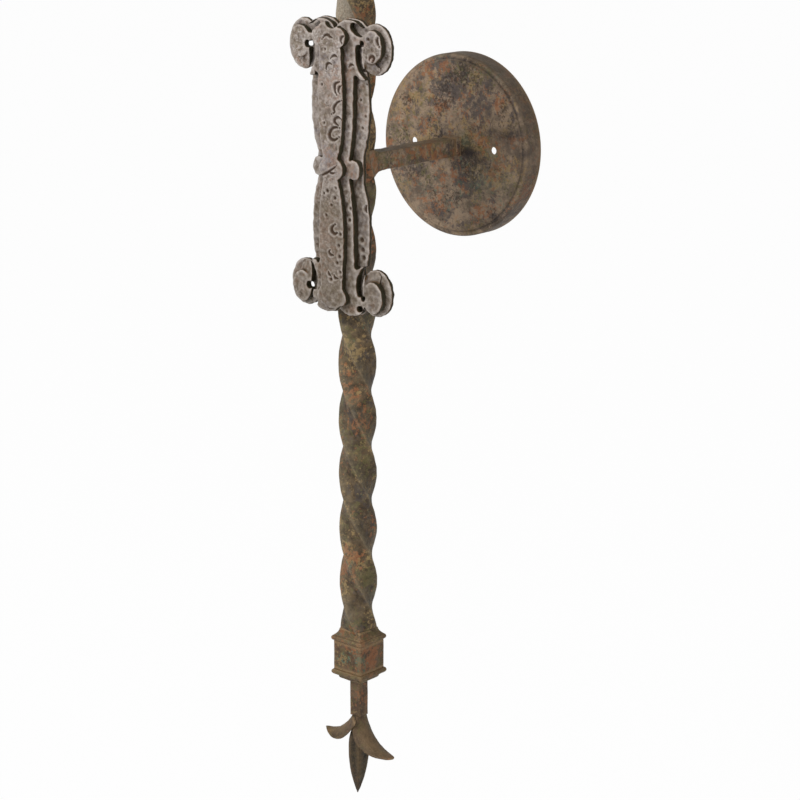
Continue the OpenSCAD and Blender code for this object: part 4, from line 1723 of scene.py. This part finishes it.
    def build(self, box: Paintbox) -> None:
        """Makes and dresses the three plates.

        Args:
            box: The finishes.
        """
        plates = (
            Plate("back_plate", "rear_ovals", self.rear(), reach=46.0, layer=0, seed=31, voxel=0.75,
                  cuts=REAR_CUTS),
            Plate("scroll_plate", "scroll_strip", self.scroll(), reach=44.0, layer=1, seed=37,
                  voxel=0.68, cuts=SCROLL_CUTS),
            Plate("front_plate", "front_shaft", self.shaft(), reach=18.0, layer=2, seed=43,
                  voxel=0.52, cuts=FRONT_CUTS))
        for plate in plates:
            box.stand_in(self.skinned(plate), Finish.CARTOUCHE_IRON, Slot.PLATE, plate.node)
        box.dress_nodes(Finish.FRAME_IRON, "plate_rivets")


@dataclass
class SquareTurning:
    """Square mouldings that follow a profile up the bar's axis, sizes in millimetres.

    Attributes:
        hardness: Hardness of their corners.
    """

    hardness: float = 22.0

    def make(self, name: str, heights: Array, halves: Array, seed: int,
             seam: Optional[float] = None) -> bpy.types.Object:
        """Soft square whose half side follows the profile, hammered lightly.

        Args:
            name: Name of the piece.
            heights: Heights of the profile's points.
            halves: Half sides at those heights.
            seed: Number of its random fields.
            seam: Height at which the piece runs on into others.

        Returns:
            The new object.
        """
        angles = corner_angles(72)
        radii = soft_square(angles, self.hardness) * halves[:, None]
        grid = np.stack([radii * np.cos(angles), radii * np.sin(angles) - BAR_OFFSET,
                         np.repeat(heights[:, None], len(angles), 1)], axis=2)
        piece = loft(name, grid)
        Wear(Forging(blow=0.1, wave=0.14, scale=0.09, seed=seed), rounds=6, depth=0.35,
             seam=seam).apply(piece)
        return piece


@dataclass
class Collar:
    """Square collar of a block between mouldings, sizes in millimetres.

    Attributes:
        block_low: Height of the block's lower face.
        block_high: Height of its upper face.
        half: Half side of the block.
        out: Width that a bead stands out past the block.
        bead_h: Height of a bead.
        cove_h: Height of bead and cove together.
        bar_half: Half side of the bar that the cove runs on to.
        cove_lip: Width that the cove's end stands out past the bar.
        second_in: Width that the second bead stands in behind the first.
        upturned: Whether the cove is above the block.
    """

    block_low: float
    block_high: float
    upturned: bool
    half: float = 12.7
    out: float = 1.5
    bead_h: float = 3.6
    cove_h: float = 8.6
    bar_half: float = 9.5
    cove_lip: float = 0.4
    second_in: float = 3.8

    def bead(self, start: float, half: float) -> tuple[Array, Array]:
        """Half-round bead: height by the sine and width by the cosine of -90 to 90 degrees."""
        angle = np.linspace(-math.pi / 2, math.pi / 2, 14)
        return start + self.bead_h / 2 * (1 + np.sin(angle)), half + self.out * np.cos(angle)

    def cove(self) -> tuple[Array, Array]:
        """Bead, then a cove whose width falls by (1 - t)^2 towards the bar.

        Returns:
            Heights and half sides of the profile.
        """
        height, half = self.bead(0, self.half)
        t = np.linspace(0.06, 1, 14)
        hollow = self.bar_half + self.cove_lip + (self.half - self.bar_half) * (1 - t) ** 2
        return (np.concatenate([height, self.bead_h + (self.cove_h - self.bead_h) * t]),
                np.concatenate([half, hollow]))

    def double_bead(self) -> tuple[Array, Array]:
        """Two beads, the one away from the block narrower.

        Returns:
            Heights and half sides of the profile.
        """
        first_h, first_half = self.bead(0, self.half)
        second_h, second_half = self.bead(-self.bead_h, self.half - self.second_in)
        return (np.concatenate([second_h, first_h]) - self.bead_h,
                np.concatenate([second_half, first_half]))

    def build(self, box: Paintbox, turning: SquareTurning, names: Sequence[str],
              nodes: Sequence[str], finish: Finish) -> None:
        """Makes block, cove and double bead and dresses them.

        Args:
            box: The finishes.
            turning: Maker of square mouldings.
            names: Names of block, cove and beads.
            nodes: Nodes that they stand for.
            finish: Their finish.
        """
        sign = 1 if self.upturned else -1
        cove_at = self.block_high if self.upturned else self.block_low
        bead_at = self.block_low if self.upturned else self.block_high
        profiles = [(np.linspace(self.block_low, self.block_high, 26), np.full(26, self.half))]
        for base, (height, half) in ((cove_at, self.cove()), (bead_at, self.double_bead())):
            height = base + sign * height
            order = slice(None, None, sign)
            profiles.append((height[order], half[order]))
        for seed, (name, node, (height, half)) in enumerate(zip(names, nodes, profiles)):
            piece = turning.make(name, height, half, 50 + seed)
            box.stand_in(piece, finish, Slot.IRON, node)


@dataclass(frozen=True)
class Leaf:
    """How one leaf of the finial is bent, in millimetres and degrees.

    Attributes:
        node: Node that it stands for.
        name: Name of the new piece.
        turn: Its turn about the stem.
        hug: Power that keeps it at the stem.
        drop: Drop of its tip below the stem.
        roll: Roll of its section.
        cup: Drop of its edges below the rib.
        root_half: Half width at its root.
        root_front: Its shift towards the front at its root.
        root_drop: By how much more its edges drop at its root.
        blunt: Power of the cosine to its tip: lower is blunter.
        seed: Number of its random fields.
    """

    node: str
    name: str
    turn: float
    hug: float
    drop: float
    roll: float
    cup: float
    root_half: float
    root_front: float
    root_drop: float
    blunt: float
    seed: int


RIGHT_LEAF = Leaf("finial_leaf_right", "finial_right_leaf", turn=-7.0, hug=2.0, drop=23.0, roll=0.0,
                  cup=3.6, root_half=4.6, root_front=0.0, root_drop=0.0, blunt=0.45, seed=71)
LEFT_LEAF = Leaf("finial_leaf_left", "finial_left_leaf", turn=173.0, hug=1.1, drop=20.5, roll=8.0,
                 cup=5.6, root_half=5.8, root_front=2.4, root_drop=0.8, blunt=0.8, seed=77)


@dataclass
class Finial:
    """Stem split into a spike and two leaves under the foot collar, sizes in millimetres.

    Attributes:
        stem_top: Height of the stem's upper end.
        stem_len: Length of the stem.
        stem_half: Half its side.
        spike_len: Length of the spike.
        spike_half: Half its width where it is widest.
        spike_lean: Distance that its point leans to the left.
        leaf_reach: Distance of a leaf's tip from the axis.
        leaf_half: Half the width of a leaf.
        leaf_thick: Thickness of a leaf at its root.
        spike_darkening: Share by which the spike is darkened.
        leaf_stain: Share by which the leaves are darkened.
    """

    stem_top: float = -365.0
    stem_len: float = 27.7
    stem_half: float = 4.6
    spike_len: float = 60.5
    spike_half: float = 6.0
    spike_lean: float = 1.7
    leaf_reach: float = 35.5
    leaf_half: float = 9.0
    leaf_thick: float = 2.8
    spike_darkening: float = 0.85
    leaf_stain: float = 0.18

    @property
    def split(self) -> float:
        """Height at which the stem splits."""
        return self.stem_top - self.stem_len

    def stem(self) -> bpy.types.Object:
        """Plain square stem.

        Returns:
            The new object.
        """
        heights = np.linspace(self.split, self.stem_top, 30)
        return SquareTurning(hardness=12).make("finial_square_stem", heights,
                                               np.full(30, self.stem_half), 61, self.split)

    def spike(self) -> bpy.types.Object:
        """Square spike that swells by a sine, then tapers by cos^0.8 to its point.

        Between the leaves it starts a third of the stem wide and grows to its full
        width by half a cosine wave.

        Returns:
            The new object.
        """
        t = np.linspace(1, 0, 70)
        swell, split = 0.42, 0.36
        grow = self.stem_half + (self.spike_half - self.stem_half) * np.sin(np.pi / 2 * t / swell)
        fall = np.clip(np.cos(np.pi / 2 * np.clip((t - swell) / (1 - swell), 0, 1)), 0, 1)
        deep = np.where(t < swell, grow, np.maximum(0.3, self.spike_half * fall ** 0.8))
        root = self.stem_half / 3
        wide = np.where(t < split, root + (deep - root) * (1 - np.cos(np.pi * t / split)) / 2, deep)
        angles = corner_angles(48)
        radius = soft_square(angles, hardness=5)
        lean = self.spike_lean * t[:, None] ** 2
        heights = self.split - self.spike_len * t
        grid = np.stack([wide[:, None] * radius * np.cos(angles) - lean,
                         deep[:, None] * radius * np.sin(angles) - BAR_OFFSET,
                         np.repeat(heights[:, None], len(angles), 1)], axis=2)
        piece = loft("finial_centre_spike", grid)
        Wear(Forging(blow=0.14, wave=0.16, scale=0.1, seed=67), seam=self.split).apply(piece)
        Skin(piece).mark("stain_and_shade", np.full(len(piece.data.vertices), self.spike_darkening))
        return piece

    def leaf(self, leaf: Leaf) -> bpy.types.Object:
        """Leaf whose rib runs out as a power of t, its hug, and drops as sin(90 t^0.9).

        Its section is a flat soft oval across the rib, and its edges bend down by
        the square of their distance from the rib. The section rolls about the rib.

        Args:
            leaf: How it is bent.

        Returns:
            The new object.
        """
        t = np.linspace(0.998, 0, 90)
        start = self.stem_half * 2 / 3
        rib_x = start + (self.leaf_reach - start) * t ** leaf.hug
        rib_z = self.split - leaf.drop * np.sin(np.pi / 2 * t ** 0.9)
        slope_x, slope_z = -np.gradient(rib_x), -np.gradient(rib_z)
        length = np.hypot(slope_x, slope_z)
        out_x, out_z = -slope_z / length, slope_x / length
        widest = 0.4
        swell = leaf.root_half + (self.leaf_half - leaf.root_half) * np.sin(np.radians(225 * t))
        to_tip = np.radians(150 * np.clip(t - widest, 0, 1 - widest))
        taper = np.clip(np.cos(to_tip), 0, 1) ** leaf.blunt
        half = np.where(t < widest, swell, np.maximum(0.4, self.leaf_half * taper))
        thick = self.leaf_thick / 2 * (1 - 0.62 * t)
        angles = corner_angles(56)
        radius = soft_square(angles, hardness=4)
        fading = ((1 - t) ** 4)[:, None]
        across = half[:, None] * radius * np.sin(angles) + leaf.root_front * fading
        bend = leaf.cup * (1 + leaf.root_drop * fading) * (across / self.leaf_half) ** 2
        rise = thick[:, None] * radius * np.cos(angles) - bend
        rolled = np.radians(leaf.roll) * np.minimum(1, 3 * t)[:, None]
        across, rise = (rise * np.sin(rolled) + across * np.cos(rolled),
                        rise * np.cos(rolled) - across * np.sin(rolled))
        x = rib_x[:, None] + rise * out_x[:, None]
        z = rib_z[:, None] + rise * out_z[:, None]
        c, s = math.cos(math.radians(leaf.turn)), math.sin(math.radians(leaf.turn))
        grid = np.stack([c * x - s * across, s * x + c * across - BAR_OFFSET, z], axis=2)
        piece = loft(leaf.name, grid)
        Wear(Forging(blow=0.16, blow_size=6, wave=0.2, scale=0.1, seed=leaf.seed),
             seam=self.split).apply(piece)
        Skin(piece).mark("stain_and_shade", np.full(len(piece.data.vertices), self.leaf_stain))
        return piece

    def build(self, box: Paintbox) -> None:
        """Makes and dresses the finial.

        Args:
            box: The finishes.
        """
        pieces = {"finial_stem": self.stem(), "finial_spike": self.spike()}
        pieces.update((leaf.node, self.leaf(leaf)) for leaf in (RIGHT_LEAF, LEFT_LEAF))
        for node, piece in pieces.items():
            box.stand_in(piece, Finish.FINIAL_IRON, Slot.IRON, node)


@dataclass
class TorchHead:
    """Cup, candle sleeve and lamp over the head collar, sizes in millimetres.

    Attributes:
        floor: Height of the cup's underside.
        cup_h: Height of the cup.
        cup_r: Radius of its lip.
        cup_foot_r: Radius of its foot.
        cup_wall: Thickness of its wall.
        bore_r: Radius of the bore in its floor.
        sleeve_r: Outer radius of the candle sleeve.
        sleeve_wall: Thickness of its wall.
        sleeve_len: Length of the sleeve.
        cap_rise: Height of the bulb's cap over the sleeve.
        bulb_len: Length of the glass.
        bulb_r: Its largest radius.
        cap_r: Its radius at the cap.
    """

    floor: float = 162.3
    cup_h: float = 34.0
    cup_r: float = 38.0
    cup_foot_r: float = 11.0
    cup_wall: float = 2.0
    bore_r: float = 5.0
    sleeve_r: float = 11.5
    sleeve_wall: float = 1.2
    sleeve_len: float = 92.0
    cap_rise: float = 4.0
    bulb_len: float = 76.0
    bulb_r: float = 17.5
    cap_r: float = 6.0

    def on_bar(self, piece: bpy.types.Object, height: float) -> bpy.types.Object:
        """Moves a piece turned round Z to the bar's line at a height."""
        piece.data.transform(Matrix.Translation((0, -BAR_OFFSET * MM, height * MM)))
        return piece

    def belly(self, t: Array) -> Array:
        """Outer radius of the cup: a full belly 1 - (1 - t)^2.6 and a flare t^4."""
        share = 0.74 * (1 - (1 - t) ** 2.6) + 0.26 * t ** 4
        return self.cup_foot_r + (self.cup_r - self.cup_foot_r) * share

    def cup(self) -> bpy.types.Object:
        """Raised cup: outer wall, round lip, inner wall and a bore in its floor.

        Returns:
            The new object.
        """
        t = np.linspace(0, 0.985, 50)
        lip = np.linspace(0, math.pi, 10)
        inner = np.linspace(0.985, self.cup_wall / self.cup_h, 44)
        radii = np.concatenate([[self.bore_r, 8], self.belly(t),
                                self.cup_r - self.cup_wall / 2 * (1 - np.cos(lip)),
                                self.belly(inner) - self.cup_wall, [self.bore_r]])
        heights = np.concatenate([[0, 0], t * self.cup_h,
                                  self.cup_h + self.cup_wall / 2 * np.sin(lip),
                                  inner * self.cup_h, [self.cup_wall]])
        piece = self.on_bar(revolve("raised_cup", radii, heights, 144, capped=False), self.floor)
        Wear(Forging(blow=0.22, blow_size=7, wave=0.25, scale=0.06, seed=83),
             depth=0.4).apply(piece)
        return piece

    def sleeve(self) -> bpy.types.Object:
        """Candle sleeve: a tube with rounded rims and a slightly uneven wax skin.

        Returns:
            The new object.
        """
        rim = np.linspace(0, math.pi, 8)
        half = self.sleeve_wall / 2
        up = np.linspace(half, self.sleeve_len - half, 80)
        radii = np.concatenate([np.full(80, self.sleeve_r), self.sleeve_r - half * (1 - np.cos(rim)),
                                np.full(40, self.sleeve_r - self.sleeve_wall),
                                self.sleeve_r - half * (1 + np.cos(rim))])
        heights = np.concatenate([up, self.sleeve_len - half + half * np.sin(rim), up[::-2],
                                  half - half * np.sin(rim)])
        piece = self.on_bar(revolve("candle_tube", radii, heights, 96, capped=False),
                            self.floor + self.cup_wall)
        Wear(Forging(blow=0.03, wave=0.08, wave_size=20, scale=0.03, seed=89),
             depth=0.3).apply(piece)
        return piece

    def glass(self) -> bpy.types.Object:
        """Flame-shaped bulb: a sine belly up to 38% of its height, then cos^0.9 to the tip.

        Returns:
            The new object.
        """
        t = np.linspace(0, 1, 90)
        belly = 0.38
        grow = self.cap_r + (self.bulb_r - self.cap_r) * np.sin(np.pi / 2 * t / belly)
        fall = np.clip(np.cos(np.pi / 2 * np.clip((t - belly) / (1 - belly), 0, 1)), 0, 1) ** 0.9
        radii = np.where(t < belly, grow, self.bulb_r * fall * (1 - 0.25 * (t - belly)) + 0.05)
        return self.on_bar(revolve("flame_glass", radii, t * self.bulb_len, 96, capped=True),
                           self.floor + self.cup_wall + self.sleeve_len + self.cap_rise)

    def build(self, box: Paintbox) -> None:
        """Makes and dresses the torch head.

        Args:
            box: The finishes.
        """
        box.stand_in(self.cup(), Finish.FRAME_IRON, Slot.IRON, "torch_cup")
        box.stand_in(self.sleeve(), Finish.CANDLE, Slot.CANDLE, "candle_sleeve")
        box.stand_in(self.glass(), Finish.GLASS, Slot.GLASS, "bulb_glass", body=Body.LAMP)
        box.dress_nodes(Finish.STEEL, "lamp_pipe", "bulb_filament")
        box.dress_nodes(Finish.BRASS, "cup_nut", "socket_contact", "bulb_cap")
        box.dress_nodes(Finish.SOCKET, "lamp_socket")


# ----------------------------------------------------------------------- studio


@dataclass
class Studio:
    """Camera, lamps, floor and sky, sizes in metres.

    Attributes:
        eye: Place of the camera.
        aim: Point that camera and lamps look at.
        lens: Focal length in millimetres.
        sensor: Width of the sensor in millimetres.
        floor_z: Height of the floor.
        floor_side: Side of the floor.
        glow: Share by which the floor reads white to the camera.
        key_place: Place of the main lamp.
        key_side: Its side.
        key_watts: Its strength.
        fill_place: Place of the second lamp.
        fill_side: Its side.
        fill_watts: Its strength.
        sky: Strength of the even light.
    """

    eye: Vector = Vector((1.040532, -1.297687, 0.259321))
    aim: Vector = Vector((-0.006110, -0.066624, -0.174371))
    lens: float = 107.256
    sensor: float = 36.0
    floor_z: float = -0.62
    floor_side: float = 40.0
    glow: float = 0.97
    key_place: tuple[float, float, float] = (-0.45, -1.9, 1.6)
    key_side: float = 1.2
    key_watts: float = 42.0
    fill_place: tuple[float, float, float] = (2.5, -1.1, 0.6)
    fill_side: float = 1.6
    fill_watts: float = 13.0
    sky: float = 0.4

    def camera(self) -> None:
        """Sets the camera at the photograph's place and angle."""
        data = bpy.data.cameras.new("view")
        data.lens, data.sensor_width, data.clip_end = self.lens, self.sensor, 100.0
        camera = bpy.data.objects.new("view", data)
        camera.location = self.eye
        camera.rotation_euler = (self.aim - self.eye).to_track_quat("-Z", "Y").to_euler()
        bpy.context.scene.collection.objects.link(camera)
        bpy.context.scene.camera = camera

    def lamp(self, name: str, place: tuple[float, float, float], side: float,
             watts: float) -> None:
        """Adds a square soft lamp that looks at the middle of the sconce.

        Args:
            name: Name of the lamp.
            place: Where it stands.
            side: Its side.
            watts: Its strength.
        """
        data = bpy.data.lights.new(name, "AREA")
        data.shape, data.size, data.energy = "SQUARE", side, watts
        lamp = bpy.data.objects.new(name, data)
        lamp.location = place
        lamp.rotation_euler = (self.aim - Vector(place)).to_track_quat("-Z", "Y").to_euler()
        bpy.context.scene.collection.objects.link(lamp)

    def floor(self) -> None:
        """Lays a wide pale floor that reads white to the camera and keeps a faint shadow."""
        half = self.floor_side / 2 / MM
        corners = np.array([[-half, -half, 0], [half, -half, 0], [half, half, 0], [-half, half, 0]])
        floor = add_piece("studio_floor", corners + [0, 0, self.floor_z / MM], [[0, 1, 2, 3]])
        tree = Tree("pale_floor")
        path = tree.node("ShaderNodeLightPath", {}, {}, "Is Camera Ray")
        lit = tree.node("ShaderNodeBsdfDiffuse", {}, {"Color": (0.86, 0.86, 0.86)})
        glow = tree.node("ShaderNodeEmission", {}, {"Color": (1.0, 1.0, 1.0), "Strength": 1.0})
        tree.node_out(tree.node("ShaderNodeMixShader", {}, {0: path * self.glow, 1: lit, 2: glow}))
        floor.data.materials.append(tree.material)

    def sky_light(self) -> None:
        """Lights the object evenly and shows white to the camera and to shiny surfaces."""
        world = bpy.data.worlds.new("sky")
        bpy.context.scene.world = world
        world.use_nodes = True
        nodes, links = world.node_tree.nodes, world.node_tree.links
        nodes.clear()
        path = nodes.new("ShaderNodeLightPath")
        shown = nodes.new("ShaderNodeMath")
        shown.operation, shown.use_clamp = "ADD", True
        links.new(path.outputs["Is Camera Ray"], shown.inputs[0])
        links.new(path.outputs["Is Transmission Ray"], shown.inputs[1])
        strength = nodes.new("ShaderNodeMapRange")
        strength.inputs["To Min"].default_value = self.sky
        links.new(shown.outputs[0], strength.inputs["Value"])
        light = nodes.new("ShaderNodeBackground")
        links.new(strength.outputs[0], light.inputs["Strength"])
        light.inputs["Color"].default_value = (1.0, 1.0, 1.0, 1.0)
        out = nodes.new("ShaderNodeOutputWorld")
        links.new(light.outputs[0], out.inputs["Surface"])

    def build(self) -> None:
        """Sets up the whole studio."""
        bpy.context.scene.view_settings.view_transform = "Standard"
        self.camera()
        self.lamp("key", self.key_place, self.key_side, self.key_watts)
        self.lamp("fill", self.fill_place, self.fill_side, self.fill_watts)
        self.floor()
        self.sky_light()
        log.info("studio: camera at %s", tuple(round(v, 3) for v in self.eye))


def main() -> None:
    """Builds the sconce and its studio."""
    logging.basicConfig(level=logging.INFO, format="%(name)s %(message)s")
    Studio().build()
    box = Paintbox()
    Mount().build(box)
    TwistedBar().build(box)
    Cartouche().build(box)
    turning = SquareTurning()
    Collar(block_low=-357.8, block_high=-336.3, upturned=True).build(
        box, turning, ("foot_block", "foot_cove", "foot_beads"),
        ("foot_collar_block", "foot_collar_cove", "foot_collar_bead"), Finish.FINIAL_IRON)
    Collar(block_low=139.1, block_high=155.1, upturned=False).build(
        box, turning, ("head_block", "head_cove", "head_beads"),
        ("head_collar_block", "head_collar_bead", "head_collar_cap"), Finish.FRAME_IRON)
    Finial().build(box)
    TorchHead().build(box)


if __name__ == "__main__":
    main()
